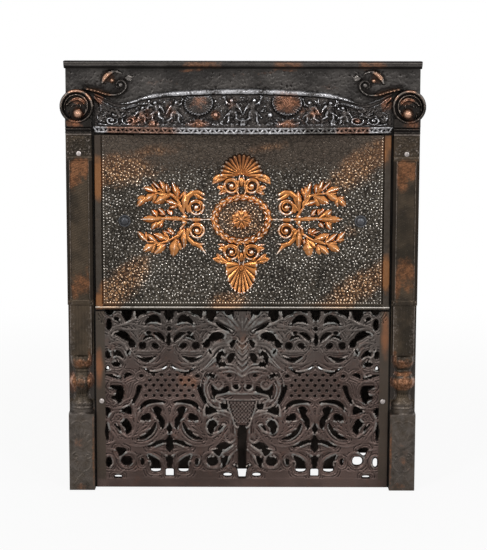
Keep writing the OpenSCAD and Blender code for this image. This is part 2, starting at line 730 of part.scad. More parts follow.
// A side of the firebox that follows the lean of the back, with a flange to the jamb.
module cheek(side) {
    color("#3f3530") mirror([side < 0 ? 1 : 0, 0, 0]) difference() {
        union() {
            translate([box_x, 0, 0]) rotate([90, 0, 90]) linear_extrude(plate_t) polygon([
                [0, 0], [box_d, 0], [box_d, slope_z[0]], [throat_d, slope_z[1]],
                [throat_d, throat_z], [0, throat_z]]);
            block(box_x + plate_t / 2, box_x + plate_t + flange_w, 0, plate_t, 0, throat_z);
        }
        at_corners([cheek_bolt_x], cheek_bolt_z) along_y(bolt_r + fit, -1, plate_t + 1);
    }
}

module left_cheek() { cheek(-1); }
module right_cheek() { cheek(1); }

module cheek_bolts() {
    color("#57514a") at_corners([-cheek_bolt_x, cheek_bolt_x], cheek_bolt_z) {
        along_y(bolt_r, -jamb_t - 5, plate_t);
        translate([0, plate_t, 0]) rotate([-90, 0, 0])
            cylinder(r = nut_w * 0.55, h = nut_t, $fn = 6);
    }
}

back_x = box_x + plate_t;
back_bolt_x = box_x - 20;
lap_z = back_h + slit_h;

// The lower fireback stands on the hearth and has a notch in its right-hand corner.
module fireback() {
    color("#4a3f38") difference() {
        union() {
            block(-back_x, back_x, box_d, box_d + plate_t, 0, back_h);
            for (s = [-1, 1]) translate([s * back_bolt_x, 0, 0])
                block(-14, 14, box_d + plate_t / 2, box_d + 2 * plate_t, back_h - 50, back_h);
        }
        block(box_x - notch_w, box_x, box_d - 1, box_d + plate_t + 1, -1, notch_h);
        at_corners([-back_bolt_x, back_bolt_x], [back_h - 16])
            along_y(bolt_r + fit, box_d - 1, box_d + 3 * plate_t + 1);
    }
}

// The upper back leans forward to the throat. Two straps hang from it to the fireback.
module upper_back() {
    color("#4a3f38") difference() {
        union() {
            translate([-back_x, 0, 0]) rotate([90, 0, 90]) linear_extrude(2 * back_x) polygon([
                [box_d, lap_z], [box_d + plate_t, lap_z], [box_d + plate_t, slope_z[0]],
                [throat_d + plate_t, slope_z[1]], [throat_d + plate_t, throat_z],
                [throat_d, throat_z], [throat_d, slope_z[1]], [box_d, slope_z[0]]]);
            for (s = [-1, 1]) translate([s * back_bolt_x, 0, 0]) {
                block(-10, 10, box_d + plate_t / 2, box_d + 3 * plate_t, lap_z, lap_z + 30);
                block(-10, 10, box_d + 2 * plate_t, box_d + 3 * plate_t, back_h - 32,
                    lap_z + 30);
            }
        }
        at_corners([-back_bolt_x, back_bolt_x], [back_h - 16])
            along_y(bolt_r + fit, box_d - 1, box_d + 3 * plate_t + 1);
    }
}

module back_bolts() {
    color("#57514a") at_corners([-back_bolt_x, back_bolt_x], [back_h - 16]) {
        along_y(bolt_r, box_d, box_d + 3 * plate_t + nut_t + 1);
        along_y(head_r, box_d - 2.5, box_d);
        block(-nut_w / 2, nut_w / 2, box_d + 3 * plate_t, box_d + 3 * plate_t + nut_t,
            -nut_w / 2, nut_w / 2);
    }
}

collar_bolt_x = flue_w / 2 + collar_t + foot_w / 2;
collar_bolt_y = [collar_y - flue_d / 2 + 15, collar_y + flue_d / 2 - 15];

module throat_plate() {
    color("#3f3530") difference() {
        block(-back_x, back_x, 0, throat_d + plate_t, throat_z, throat_z + plate_t);
        block(-flue_w / 2, flue_w / 2, collar_y - flue_d / 2, collar_y + flue_d / 2,
            throat_z - 1, throat_z + plate_t + 1);
        for (x = [-collar_bolt_x, collar_bolt_x]) for (y = collar_bolt_y)
            translate([x, y, throat_z - 1]) cylinder(r = bolt_r + fit, h = plate_t + 2);
    }
}

// A rectangular spigot with a foot at each end. Its end walls carry the damper rod.
module flue_collar() {
    z = throat_z + plate_t;
    wall = collar_t;
    color("#3f3530") difference() {
        union() {
            block(-flue_w / 2 - wall, flue_w / 2 + wall, collar_y - flue_d / 2 - wall,
                collar_y + flue_d / 2 + wall, z, z + collar_h);
            for (s = [0, 1]) mirror([s, 0, 0]) translate([collar_bolt_x, 0, 0])
                block(-foot_w / 2 - 1, foot_w / 2, collar_y - flue_d / 2 + 4,
                    collar_y + flue_d / 2 - 4, z, z + foot_t);
        }
        block(-flue_w / 2, flue_w / 2, collar_y - flue_d / 2, collar_y + flue_d / 2,
            z - 1, z + collar_h + 1);
        translate([0, collar_y, damper_z])
            along_x(damper_r + fit, -flue_w / 2 - wall - 1, flue_w / 2 + wall + 1);
        for (x = [-collar_bolt_x, collar_bolt_x]) for (y = collar_bolt_y)
            translate([x, y, z - 1]) cylinder(r = bolt_r + fit, h = foot_t + 2);
    }
}

module collar_bolts() {
    z = throat_z + plate_t;
    color("#57514a") for (x = [-collar_bolt_x, collar_bolt_x]) for (y = collar_bolt_y)
        translate([x, y, 0]) {
            translate([0, 0, throat_z]) cylinder(r = bolt_r, h = plate_t + foot_t);
            translate([0, 0, throat_z - nut_t]) cylinder(r = nut_w * 0.55, h = nut_t, $fn = 6);
            translate([0, 0, z + foot_t]) cylinder(r = head_r, h = 3);
        }
}

module damper_rod() {
    color("#57514a") translate([0, collar_y, damper_z])
        along_x(damper_r, -flue_w / 2 - collar_t - 6, flue_w / 2 + collar_t + 6);
}

// A flat blade with a sleeve that is pinned on the rod.
module damper_plate() {
    color("#3f3530") translate([0, collar_y, damper_z]) difference() {
        union() {
            block(-flue_w / 2 + 2, flue_w / 2 - 2, -flue_d / 2 + 2, flue_d / 2 - 2, -1.5, 1.5);
            along_x(damper_r + 2.5, -flue_w / 2 + 2, flue_w / 2 - 2);
        }
        along_x(damper_r + fit, -flue_w / 2, flue_w / 2);
        translate([0, 0, -damper_r - 10]) cylinder(r = 3 + fit, h = 9.2);
    }
}

// A bar with a ball end that hangs under the blade.
module damper_handle() {
    color("#57514a") translate([0, collar_y, damper_z]) {
        translate([0, 0, -handle_l + 4]) cylinder(r = 3, h = handle_l - 4 - damper_r - 0.9);
        translate([0, 0, -handle_l + 4]) sphere(r = 4.5);
    }
}

left_jamb();
right_jamb();
hearth_sill();
left_pilaster();
right_pilaster();
left_volute();
right_volute();
header_plate();
cornice();
hood_frieze();
perforated_band();
pilaster_screws();
header_bolts();
hanger_brackets();
hanger_rod();
fireback();
upper_back();
left_cheek();
right_cheek();
throat_plate();
flue_collar();
cheek_bolts();
back_bolts();
collar_bolts();
damper_plate();
damper_rod();
damper_handle();
upper_panel();
panel_ornament();
panel_ears();
panel_knobs();
knob_nuts();
lower_grille();
grille_screws();
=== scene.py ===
import math
import bpy
import numpy as np
from mathutils import Matrix, Vector, geometry


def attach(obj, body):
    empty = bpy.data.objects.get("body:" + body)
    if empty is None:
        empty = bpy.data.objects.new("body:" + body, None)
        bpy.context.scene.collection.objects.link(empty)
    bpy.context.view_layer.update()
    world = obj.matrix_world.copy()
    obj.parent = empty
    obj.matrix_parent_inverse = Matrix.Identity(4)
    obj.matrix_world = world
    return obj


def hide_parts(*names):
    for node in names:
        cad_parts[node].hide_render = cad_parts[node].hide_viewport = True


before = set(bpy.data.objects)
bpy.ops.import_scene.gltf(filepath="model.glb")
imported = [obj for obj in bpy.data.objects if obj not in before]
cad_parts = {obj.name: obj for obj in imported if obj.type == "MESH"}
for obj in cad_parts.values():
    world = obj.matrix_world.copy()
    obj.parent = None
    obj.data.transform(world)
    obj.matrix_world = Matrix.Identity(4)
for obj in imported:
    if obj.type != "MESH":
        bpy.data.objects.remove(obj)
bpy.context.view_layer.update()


# ---- Jambs, hearth sill, hanger brackets and ears ----
# Flat iron bars and lugs behind the front, left black from the foundry. They are planed on the
# faces that meet other pieces, and soot and a little rust have settled on them.

class Wire:
    """One output socket of a node tree. Sums written with it become Math nodes."""

    def __init__(self, nodes, socket):
        self.nodes = nodes
        self.socket = socket

    def __add__(self, other):
        return self.nodes.maths("ADD", self, other)

    def __radd__(self, other):
        return self.nodes.maths("ADD", other, self)

    def __sub__(self, other):
        return self.nodes.maths("SUBTRACT", self, other)

    def __rsub__(self, other):
        return self.nodes.maths("SUBTRACT", other, self)

    def __mul__(self, other):
        return self.nodes.maths("MULTIPLY", self, other)

    def __rmul__(self, other):
        return self.nodes.maths("MULTIPLY", other, self)

    def clear_of(self, low, high):
        """0 below low, 1 above high, and a soft step between."""
        return self.nodes.add("ShaderNodeMapRange", {"interpolation_type": "SMOOTHSTEP"},
                              {0: self, 1: low, 2: high, 3: 0.0, 4: 1.0})


class Nodes:
    """A node tree and short ways to add to it. A socket takes a Wire or a plain value."""

    def fill(self, node, sockets):
        for key, value in sockets.items():
            if isinstance(value, Wire):
                self.tree.links.new(value.socket, node.inputs[key])
            else:
                node.inputs[key].default_value = value

    def add(self, kind, settings, sockets, out=0):
        node = self.tree.nodes.new(kind)
        for key, value in settings.items():
            setattr(node, key, value)
        self.fill(node, sockets)
        return Wire(self, node.outputs[out])

    def maths(self, operation, a, b=0.0):
        return self.add("ShaderNodeMath", {"operation": operation}, {0: a, 1: b})

    def split(self, vector, axes):
        return [self.add("ShaderNodeSeparateXYZ", {}, {0: vector}, axis) for axis in axes]


class Finish(Nodes):
    """A material, or the world's light, and its nodes."""

    def __init__(self, name, kind="materials", shader="Principled BSDF"):
        self.material = getattr(bpy.data, kind).new(name)
        self.material.use_nodes = True
        self.tree = self.material.node_tree
        self.shader = self.tree.nodes[shader]
        self.at = self.add("ShaderNodeTexCoord", {}, {}, "Object")

    def cloud(self, scale, detail=4.0, rough=0.55):
        return self.add("ShaderNodeTexNoise", {},
                        {"Vector": self.at, "Scale": scale, "Detail": detail,
                         "Roughness": rough}, "Fac")

    def mix(self, mask, a, b):
        return self.add("ShaderNodeMix", {"data_type": "RGBA"}, {0: mask, 6: a, 7: b}, 2)

    def layer(self, name):
        return self.add("ShaderNodeAttribute", {"attribute_name": name}, {}, "Fac")

    def bump(self, height, strength, distance):
        return self.add("ShaderNodeBump", {}, {"Height": height, "Strength": strength,
                                               "Distance": distance})

    def wear(self, radius):
        """1 along sharp edges: where a rounded normal leaves the true one."""
        soft = self.add("ShaderNodeBevel", {"samples": 4}, {"Radius": radius})
        true = self.add("ShaderNodeNewGeometry", {}, {}, "Normal")
        same = self.add("ShaderNodeVectorMath", {"operation": "DOT_PRODUCT"}, {0: soft, 1: true},
                        "Value")
        return (1.0 - same).clear_of(0.02, 0.16)

    def done(self, **sockets):
        self.fill(self.shader, {key.replace("_", " "): value for key, value in sockets.items()})
        return self.material


def rgb(red, green, blue):
    return (red, green, blue, 1.0)


def plain_iron(name, dark, light, rust, edge, gloss):
    iron = Finish(name)
    broad = iron.cloud(14.0)
    grain = iron.cloud(420.0, 3.0)
    speck = iron.cloud(95.0, 5.0, 0.7)
    colour = iron.mix(broad.clear_of(0.35, 0.68), dark, light)
    colour = iron.mix(speck.clear_of(0.56, 0.74) * 0.6, colour, rust)
    colour = iron.mix(iron.wear(0.0012) * speck.clear_of(0.3, 0.6), colour, edge)
    return iron.done(Base_Color=colour, Metallic=0.7,
                     Roughness=gloss + 0.25 * (speck - 0.5) + 0.1 * grain,
                     Normal=iron.bump(grain + 0.8 * speck, 0.35, 0.0006))


def dress(material, *names):
    for name in names:
        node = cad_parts[name]
        node.data.materials.clear()
        node.data.materials.append(material)


black_iron = plain_iron("black_iron", rgb(0.012, 0.011, 0.010), rgb(0.034, 0.029, 0.025),
                        rgb(0.060, 0.030, 0.016), rgb(0.11, 0.10, 0.09), 0.52)
dress(black_iron, "left_jamb", "right_jamb", "hearth_sill", "hanger_brackets", "panel_ears")


# ---- Firebox, flue collar and damper ----
# Plain 4 mm plates bolted behind the front. Heat and smoke have left them matt, grey-brown
# and scaled, palest where the fire burnt.

def burnt_plate(name, dark, light, scale_colour):
    plate = Finish(name)
    broad = plate.cloud(7.0, 5.0, 0.6)
    scaly = plate.cloud(60.0, 6.0, 0.72)
    grain = plate.cloud(500.0, 2.0)
    colour = plate.mix(broad.clear_of(0.36, 0.66), dark, light)
    colour = plate.mix(scaly.clear_of(0.5, 0.7) * 0.7, colour, scale_colour)
    return plate.done(Base_Color=colour, Metallic=0.15, Roughness=0.72 + 0.2 * (scaly - 0.5),
                      Normal=plate.bump(scaly + 0.4 * grain, 0.5, 0.0009))


burnt_iron = burnt_plate("burnt_iron", rgb(0.035, 0.026, 0.021), rgb(0.085, 0.064, 0.052),
                         rgb(0.11, 0.075, 0.055))
sooty_iron = burnt_plate("sooty_iron", rgb(0.012, 0.011, 0.010), rgb(0.030, 0.025, 0.022),
                         rgb(0.050, 0.034, 0.026))
dress(burnt_iron, "fireback", "upper_back", "left_cheek", "right_cheek")
dress(sooty_iron, "throat_plate", "flue_collar", "damper_plate")


# ---- Bolts, rods and nuts ----
# Bright steel gone dull and brown: the hanger rod, the damper's rod and handle, and the
# bolts and nuts that hold the plates together.

worn_steel = plain_iron("worn_steel", rgb(0.060, 0.052, 0.046), rgb(0.15, 0.13, 0.115),
                        rgb(0.10, 0.055, 0.030), rgb(0.36, 0.32, 0.28), 0.36)
dress(worn_steel, "header_bolts", "hanger_rod", "cheek_bolts", "back_bolts", "collar_bolts",
      "damper_rod", "damper_handle", "knob_nuts")


# ---- Header plate ----
# A flat field 8 mm thick behind the hood, cast with a pebbled ground and a small scroll with
# a ball and a sprig at each end. The volutes and the hood are bolted through it.

def even(low, high, step):
    return np.linspace(low, high, int(round((high - low) / step)) + 1)


def cos_sin(degrees):
    return math.cos(math.radians(degrees)), math.sin(math.radians(degrees))


def out_of_oval(X, Z, centre, rx, rz, turn):
    """How far out each place lies: 0 in the middle of the oval and 1 on it."""
    c, s = cos_sin(turn)
    dx, dz = X - centre[0], Z - centre[1]
    return np.hypot((dx * c + dz * s) / rx, (dz * c - dx * s) / rz)


def beside(X, Z, a, b):
    """Each place's share of the way from a to b, and its offset from that line."""
    step = b - a
    size = max(float(step @ step), 1e-9)
    t = np.clip(((X - a[0]) * step[0] + (Z - a[1]) * step[1]) / size, 0, 1)
    return t, X - a[0] - t * step[0], Z - a[1] - t * step[1]


def round_top(u):
    """The section of a stroke, as is leaf_top: u runs from -1 to 1 across it."""
    return np.sqrt(np.clip(1 - u * u, 0, 1))


def leaf_top(u):
    return np.clip(1 - u * u, 0, 1) ** 0.45 * (1 - 0.38 * np.exp(-(u / 0.2) ** 2))


class Relief:
    """Heights and metal over a grid of x and z in millimetres, drawn stroke by stroke.

    metal is the distance inside the nearest edge, so it is below 0 where there is a hole."""

    solid = 50.0
    empty = -50.0
    below = -9.0

    def __init__(self, x, z, metal=empty):
        self.x, self.z = np.asarray(x, float), np.asarray(z, float)
        self.X, self.Z = np.meshgrid(self.x, self.z)
        self.height = np.zeros_like(self.X)
        self.metal = np.full_like(self.X, metal)

    def part(self, points, reach):
        """The rows and columns of the grid within reach of these points."""
        low = np.min(points, axis=0) - reach
        high = np.max(points, axis=0) + reach
        columns = slice(np.searchsorted(self.x, low[0]), np.searchsorted(self.x, high[0]))
        rows = slice(np.searchsorted(self.z, low[1]), np.searchsorted(self.z, high[1]))
        return rows, columns

    def lift(self, spot, rise, inside):
        self.height[spot] = np.maximum(self.height[spot], rise)
        self.metal[spot] = np.maximum(self.metal[spot], inside)

    def stroke(self, points, widths, crest, shape, floor=0.0, cast=True):
        """Raises a band along points. widths and crest run evenly from its start to its end.

        Where cast is False it adds no metal outside the edges there are."""
        points = np.asarray(points, float)
        count = len(points)
        wide = np.interp(np.linspace(0, 1, count), np.linspace(0, 1, len(widths)), widths) / 2
        spot = self.part(points, wide.max() + 0.5)
        X, Z = self.X[spot], self.Z[spot]
        if not X.size:
            return
        nearest = np.full(X.shape, 1e9)
        across = np.full(X.shape, 9.0)
        along = np.zeros(X.shape)
        inside = np.full(X.shape, self.empty)
        for i in range(count - 1):
            t, dx, dz = beside(X, Z, points[i], points[i + 1])
            away = np.hypot(dx, dz)
            w = np.maximum(wide[i] + (wide[i + 1] - wide[i]) * t, 0.05)
            inside = np.maximum(inside, w - away)
            closer = away / w < nearest
            nearest = np.where(closer, away / w, nearest)
            step = points[i + 1] - points[i]
            side = np.sign(step[0] * dz - step[1] * dx)
            across = np.where(closer, side * away / w, across)
            along = np.where(closer, (i + t) / (count - 1), along)
        crest = np.interp(along, np.linspace(0, 1, len(crest)), crest)
        rise = np.where(nearest < 1, floor + crest * shape(across), self.below)
        self.lift(spot, rise, inside if cast else self.empty)

    def leaf(self, a, b, width, bow, crest, shape=leaf_top):
        """Raises a leaf from a to b."""
        points, widths = blade(a, b, width, bow)
        self.stroke(points, widths, crest, shape)

    def boss(self, centre, rx, rz, crest, turn=0.0, power=0.5, cast=True):
        """Raises an oval knob."""
        spot = self.part(np.array([centre]), max(rx, rz) + 1)
        far = out_of_oval(self.X[spot], self.Z[spot], centre, rx, rz, turn)
        rise = np.where(far < 1, crest * np.clip(1 - far ** 2, 0, 1) ** power, self.below)
        self.lift(spot, rise, (1 - far) * min(rx, rz) if cast else self.empty)

    def dent(self, centre, rx, rz, depth, turn=0.0):
        """Sinks an oval dimple."""
        spot = self.part(np.array([centre]), max(rx, rz) + 1)
        far = out_of_oval(self.X[spot], self.Z[spot], centre, rx, rz, turn)
        self.height[spot] -= depth * np.clip(1 - far ** 2, 0, 1)

    def pierce(self, outline):
        """Cuts a hole of this outline."""
        outline = np.asarray(outline, float)
        spot = self.part(outline, 9.0)
        X, Z = self.X[spot], self.Z[spot]
        away = np.full(X.shape, 1e9)
        odd = np.zeros(X.shape, bool)
        for a, b in zip(outline, np.roll(outline, -1, axis=0)):
            _, dx, dz = beside(X, Z, a, b)
            away = np.minimum(away, np.hypot(dx, dz))
            if a[1] != b[1]:
                crosses = (a[1] > Z) != (b[1] > Z)
                odd ^= crosses & (X < a[0] + (Z - a[1]) * (b - a)[0] / (b - a)[1])
        self.metal[spot] = np.minimum(self.metal[spot], np.where(odd, -away, away))

    def blurred(self, reach):
        """The heights averaged over about reach millimetres each way."""
        n = max(1, int(round(reach / (self.x[1] - self.x[0]))))
        width = 2 * n + 1
        soft = self.height
        for _ in ("z", "x"):
            for _ in range(2):
                total = np.cumsum(np.pad(soft, ((n, n), (0, 0)), mode="edge"), axis=0)
                total = np.insert(total, 0, 0, axis=0)
                soft = (total[width:] - total[:-width]) / width
            soft = soft.T
        return soft


def bend(a, c, b, n=10):
    """A line of n steps from a to b, drawn toward c."""
    t = np.linspace(0, 1, n + 1)[:, None]
    a, c, b = (np.asarray(p, float) for p in (a, c, b))
    return a * (1 - t) ** 2 + 2 * c * t * (1 - t) + b * t * t


def flowing(points, closed=False, n=4):
    """A smooth line through the points."""
    points = np.asarray(points, float)
    if closed:
        marks = np.concatenate([points[-1:], points, points[:2]])
    else:
        marks = np.concatenate([2 * points[:1] - points[1:2], points,
                                2 * points[-1:] - points[-2:-1]])
    t = (np.arange(n) / n)[:, None]
    line = [b + 0.5 * t * (c - a + t * (2 * a - 5 * b + 4 * c - d + t * (3 * (b - c) + d - a)))
            for a, b, c, d in zip(marks, marks[1:], marks[2:], marks[3:])]
    return np.concatenate(line if closed else line + [points[-1:]])


def blade(a, b, w, bow):
    """Points and widths of a leaf from a to b that bows to its left."""
    a, b = np.asarray(a, float), np.asarray(b, float)
    side = np.array([a[1] - b[1], b[0] - a[0]]) / np.linalg.norm(b - a)
    return bend(a, (a + b) / 2 + side * 2 * bow, b), [w * 0.35, w * 0.85, w, w * 0.7, w * 0.12]


def healed(keep):
    """Fills in where two cells touch only at a corner, so that no edge has four faces."""
    for _ in range(2):
        a, b, c, d = keep[:-1, :-1], keep[1:, 1:], keep[:-1, 1:], keep[1:, :-1]
        a |= c & d & ~a & ~b
        c |= a & b & ~c & ~d
    return keep


def settled(relief, keep):
    """The grid's places, with those along a hole or an edge moved onto its true line."""
    X, Z = relief.X.copy(), relief.Z.copy()
    step = relief.x[1] - relief.x[0]
    furthest = 0.62 * step
    cells = np.pad(keep, 1).astype(int)
    touch = cells[:-1, :-1] + cells[1:, :-1] + cells[:-1, 1:] + cells[1:, 1:]
    edge = np.zeros(touch.shape, bool)
    edge[1:-1, 1:-1] = ((touch > 0) & (touch < 4))[1:-1, 1:-1]
    slope_z, slope_x = np.gradient(relief.metal, step)
    steep = np.maximum(slope_x ** 2 + slope_z ** 2, 0.2)
    for axis, slope in ((X, slope_x), (Z, slope_z)):
        move = np.clip(-relief.metal * slope / steep, -furthest, furthest)
        axis[edge] += move[edge]
    return X, Z


def flat_back(relief, keep, X, Z, walls, rims, rear):
    """Triangles that fill the outline between the walls, turned to face backward."""
    spots = [Vector((float(X[k]), float(Z[k]))) for k in rims]
    order = {int(k): n for n, k in enumerate(rims)}
    edges = [(order[int(a)], order[int(b)]) for a, b in walls]
    places, _, triangles, sources, _, _ = geometry.delaunay_2d_cdt(spots, edges, [], 0, 1e-6)
    places = np.array([tuple(p) for p in places])
    came = [source[0] if source else -1 for source in sources]
    faces = []
    for triangle in triangles:
        if min(came[k] for k in triangle) < 0:
            continue
        x, z = places[list(triangle)].mean(axis=0)
        column = np.clip(np.searchsorted(relief.x, x) - 1, 0, keep.shape[1] - 1)
        row = np.clip(np.searchsorted(relief.z, z) - 1, 0, keep.shape[0] - 1)
        if keep[row, column]:
            faces.append([int(rear[rims[came[k]]]) for k in triangle[::-1]])
    return faces


def keep_layer(mesh, label, values):
    numbers = np.asarray(values, np.float32)
    mesh.attributes.new(label, "FLOAT", "POINT").data.foreach_set("value", numbers)


def casting(name, relief, front, back, material, layers=None, curved=False):
    """A closed mesh: the relief in front, a wall round each edge and hole, and a back.

    front(x, z, height) and back(x, z) give places in millimetres. A curved back has as many
    corners as the front, and a flat one only those that its outline needs."""
    metal = relief.metal
    keep = healed((metal[:-1, :-1] + metal[1:, :-1] + metal[:-1, 1:] + metal[1:, 1:]) > 0)
    X, Z = settled(relief, keep)
    i, j = np.nonzero(keep)
    used = np.zeros(X.shape, bool)
    for di, dj in ((0, 0), (0, 1), (1, 1), (1, 0)):
        used[i + di, j + dj] = True
    X, Z = X[used], Z[used]
    count = len(X)
    number = np.full(used.shape, -1)
    number[used] = np.arange(count)
    skin = np.stack([number[i, j], number[i, j + 1], number[i + 1, j + 1], number[i + 1, j]],
                    axis=1)
    outside = ~np.pad(keep, 1)
    walls = []
    for (di, dj), p, q in (((-1, 0), (0, 0), (0, 1)), ((0, 1), (0, 1), (1, 1)),
                           ((1, 0), (1, 1), (1, 0)), ((0, -1), (1, 0), (0, 0))):
        bare_and_glint = outside[i + 1 + di, j + 1 + dj]
        a, b = i[bare_and_glint], j[bare_and_glint]
        walls.append(np.stack([number[a + p[0], b + p[1]], number[a + q[0], b + q[1]]], axis=1))
    walls = np.concatenate(walls)
    rims = np.arange(count) if curved else np.unique(walls)
    rear = np.full(count, -1)
    rear[rims] = np.arange(len(rims)) + count
    places = np.concatenate([np.stack(front(X, Z, relief.height[used]), axis=1),
                             np.stack(back(X[rims], Z[rims]), axis=1)])
    faces = skin.tolist()
    if curved:
        faces += (skin[:, ::-1] + count).tolist()
    a, b = walls.T
    faces += np.stack([b, a, rear[a], rear[b]], axis=1).tolist()
    if not curved:
        faces += flat_back(relief, keep, X, Z, walls, rims, rear)
    mesh = bpy.data.meshes.new(name)
    mesh.from_pydata((places / 1000).tolist(), [], faces)
    for label, (shown, behind) in (layers or {}).items():
        keep_layer(mesh, label, np.concatenate([shown[used], np.full(len(rims), behind)]))
    return stand(name, mesh, material)


def stand(name, mesh, material, angle=38.0):
    """Puts a finished mesh in the scene, smooth but for its sharp edges."""
    mesh.validate()
    mesh.shade_smooth()
    mesh.set_sharp_from_angle(angle=math.radians(angle))
    mesh.materials.clear()
    mesh.materials.append(material)
    piece = bpy.data.objects.new(name, mesh)
    bpy.context.collection.objects.link(piece)
    return piece


def carved(relief, reach, lift, flashes):
    """Layers for a finish: crests, which the finishes paint with highlights and wear, hollows,
    which they paint with shade and soot, and where the copper was sponged on. Each has its values
    in front and one value for the back."""
    soft = relief.blurred(reach)
    ridge = np.clip((relief.height - soft) / lift, 0, 1)
    hollow = np.clip((soft - relief.height) / lift, 0, 1)
    flash = np.zeros_like(soft)
    for x, z, rx, rz, turn, strength in flashes:
        far = out_of_oval(relief.X, relief.Z, (x, z), rx, rz, turn)
        flash = np.maximum(flash, strength * np.clip(1.35 - far, 0, 1))
    return {"ridge": (ridge, 0.0), "hollow": (hollow, 1.0), "flash": (flash, 0.0)}


def plane(y, middle=0.0):
    """The front or the back of a flat casting: its relief of height h stands before y."""
    return lambda x, z, h=0.0: (x + middle, 0 * x + y - h, z)


# Near-black for soot and painted shade in hollows.
soot_and_shade_black = rgb(0.008, 0.006, 0.005)
scuff_grey = rgb(0.130, 0.112, 0.100)


def deeper(colour, share):
    return rgb(*(share * v for v in colour[:3]))


def flashed_iron(name, ground, pale, copper, edge, gloss=0.34, edge_share=0.75,
                 edge_copper=rgb(0.46, 0.27, 0.18), scuffed=0.0):
    """Dark lacquered iron with sponged copper, pale from wear along its crests with a painted
    highlight there, painted shade and soot in its hollows, and grey below the scuffed height."""
    iron = Finish(name)
    ridge, hollow, flash = iron.layer("ridge"), iron.layer("hollow"), iron.layer("flash")
    broad = iron.cloud(22.0, 5.0, 0.6)
    patch = iron.cloud(75.0, 6.0, 0.68)
    speck = iron.cloud(270.0, 3.0, 0.7)
    grain = iron.cloud(650.0, 3.0, 0.6)
    colour = iron.mix(broad.clear_of(0.36, 0.66), ground, pale)
    z = iron.split(iron.at, "Z")[0]
    scuffs = (scuffed - z).clear_of(0.0, 0.01) * (0.40 + 2.0 * (patch - 0.45))
    colour = iron.mix(scuffs, colour, scuff_grey)
    sponged = (flash + 1.5 * (patch - 0.5)).clear_of(0.20, 0.85)
    tone = iron.mix((0.5 * patch + 0.5 * speck).clear_of(0.42, 0.60), deeper(copper, 0.62),
                    deeper(copper, 1.4))
    colour = iron.mix(sponged * 0.85, colour, tone)
    # Painted highlight: crests and random specks are lightened toward the edge colour, partly wear
    # and partly light.
    wear_and_highlight = (ridge + 1.3 * (speck - 0.56)).clear_of(0.16, 0.72)
    colour = iron.mix(wear_and_highlight * edge_share, colour, iron.mix(sponged, edge, edge_copper))
    # Painted shade: hollows are darkened toward near-black, partly soot and partly the shade that
    # falls there.
    dirt_and_shade = (hollow + 0.3 * (broad - 0.5)).clear_of(0.05, 0.75)
    colour = iron.mix(dirt_and_shade * 0.85, colour, soot_and_shade_black)
    return iron.done(Base_Color=colour, Metallic=0.85,
                     Roughness=gloss + 0.22 * (patch - 0.5) + 0.25 * dirt_and_shade - 0.06 * wear_and_highlight,
                     Normal=iron.bump(grain + 0.7 * patch, 0.5, 0.0007))


front_iron = flashed_iron("front_iron", rgb(0.032, 0.029, 0.027), rgb(0.074, 0.067, 0.062),
                          rgb(0.16, 0.075, 0.042), rgb(0.20, 0.18, 0.165))

header_face = -8
header_half, header_foot, header_top = 308, 645, 749
header_step = 1.4
header_pebbles = 5200
scroll_line = [(275, 714), (262, 711.5), (250, 708.5), (238, 704.5), (226, 703), (214, 705),
               (205, 712), (203, 721), (209, 728), (217, 726), (220, 719), (215, 714)]
scroll_widths = [5, 5, 4.6, 4.2, 4, 4, 4.2, 4.4, 4, 3.4, 2.6, 2]
hook_line = [(244, 724), (239.5, 733), (231, 741), (220, 743.5), (210, 740)]

header = Relief(even(-header_half, header_half, header_step),
                even(header_foot, header_top, header_step), Relief.solid)
rng = np.random.default_rng(7)
for _ in range(header_pebbles):
    header.dent((rng.uniform(-306, 306), rng.uniform(648, 746)), rng.uniform(1.6, 3.4),
                rng.uniform(1.5, 2.2), rng.uniform(0.2, 0.6), rng.uniform(0, 180))
for side in (-1, 1):
    header.stroke(flowing([(side * x, z) for x, z in hook_line]), [4, 9, 7.5, 5, 3],
                  [4.4, 3.6, 2.4], leaf_top)
    header.boss((side * 227, 728), 4, 4, 4.6)
    header.stroke(flowing([(side * x, z) for x, z in scroll_line]), scroll_widths,
                  [9, 9, 7, 5.5, 4.5, 4, 3.2], round_top)
    header.boss((side * 212, 720), 4.5, 4.5, 2.6)
    for x, z, wide in ((196, 740, 5), (189, 736, 6), (192, 729, 4)):
        header.leaf((side * 204, 733), (side * x, z), wide, side * 2, [2.4])
header_flash = [(-234, 734, 12, 9, 50, 1.1), (234, 734, 12, 9, -50, 1.0),
                (-227, 728, 5, 5, 0, 1.2), (227, 728, 5, 5, 0, 1.2),
                (-250, 708.5, 26, 5, -16, 1.1), (250, 708.5, 26, 5, 16, 1.0),
                (-86, 746, 30, 3, 4, 0.55), (78, 746, 26, 3, -4, 0.6),
                (222, 746, 24, 3, 0, 0.6), (-150, 722, 40, 8, 8, 0.22),
                (20, 740, 60, 5, 4, 0.25), (150, 716, 30, 8, -10, 0.25)]
header_piece = casting("header_field", header, plane(header_face), plane(0), front_iron,
                       carved(header, 5, 1.4, header_flash))
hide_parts("header_plate")
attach(header_piece, "frame")


# ---- Cornice ----
# A straight run of mouldings along the top of the header: a fillet, a cyma, a bead and a flat
# top, with copper sponged on here and there. It is cast with the header's upper edge.

def drawn(name, profile, half, steps, material, layers):
    """A bar of this y, z outline, which runs round it anticlockwise as seen from its right."""
    n = len(profile)
    spots = [(x, y, z) for x in np.linspace(-half, half, steps + 1) for y, z in profile]
    faces = [(i * n + k, i * n + (k + 1) % n, (i + 1) * n + (k + 1) % n, (i + 1) * n + k)
             for i in range(steps) for k in range(n)]
    faces.append(tuple(range(n))[::-1])
    faces.append(tuple(steps * n + k for k in range(n)))
    mesh = bpy.data.meshes.new(name)
    mesh.from_pydata((np.array(spots) / 1000).tolist(), [], faces)
    for label, value in layers.items():
        keep_layer(mesh, label, [value(*spot) for spot in spots])
    return stand(name, mesh, material, 30)


def on_oval(centre, rx, rz, degrees):
    """The point of an oval at this angle."""
    c, s = cos_sin(degrees)
    return centre[0] + rx * c, centre[1] + rz * s


def arc_of(y, z, r, a0, a1, n=6):
    return [on_oval((y, z), r, r, a) for a in np.linspace(a0, a1, n)]


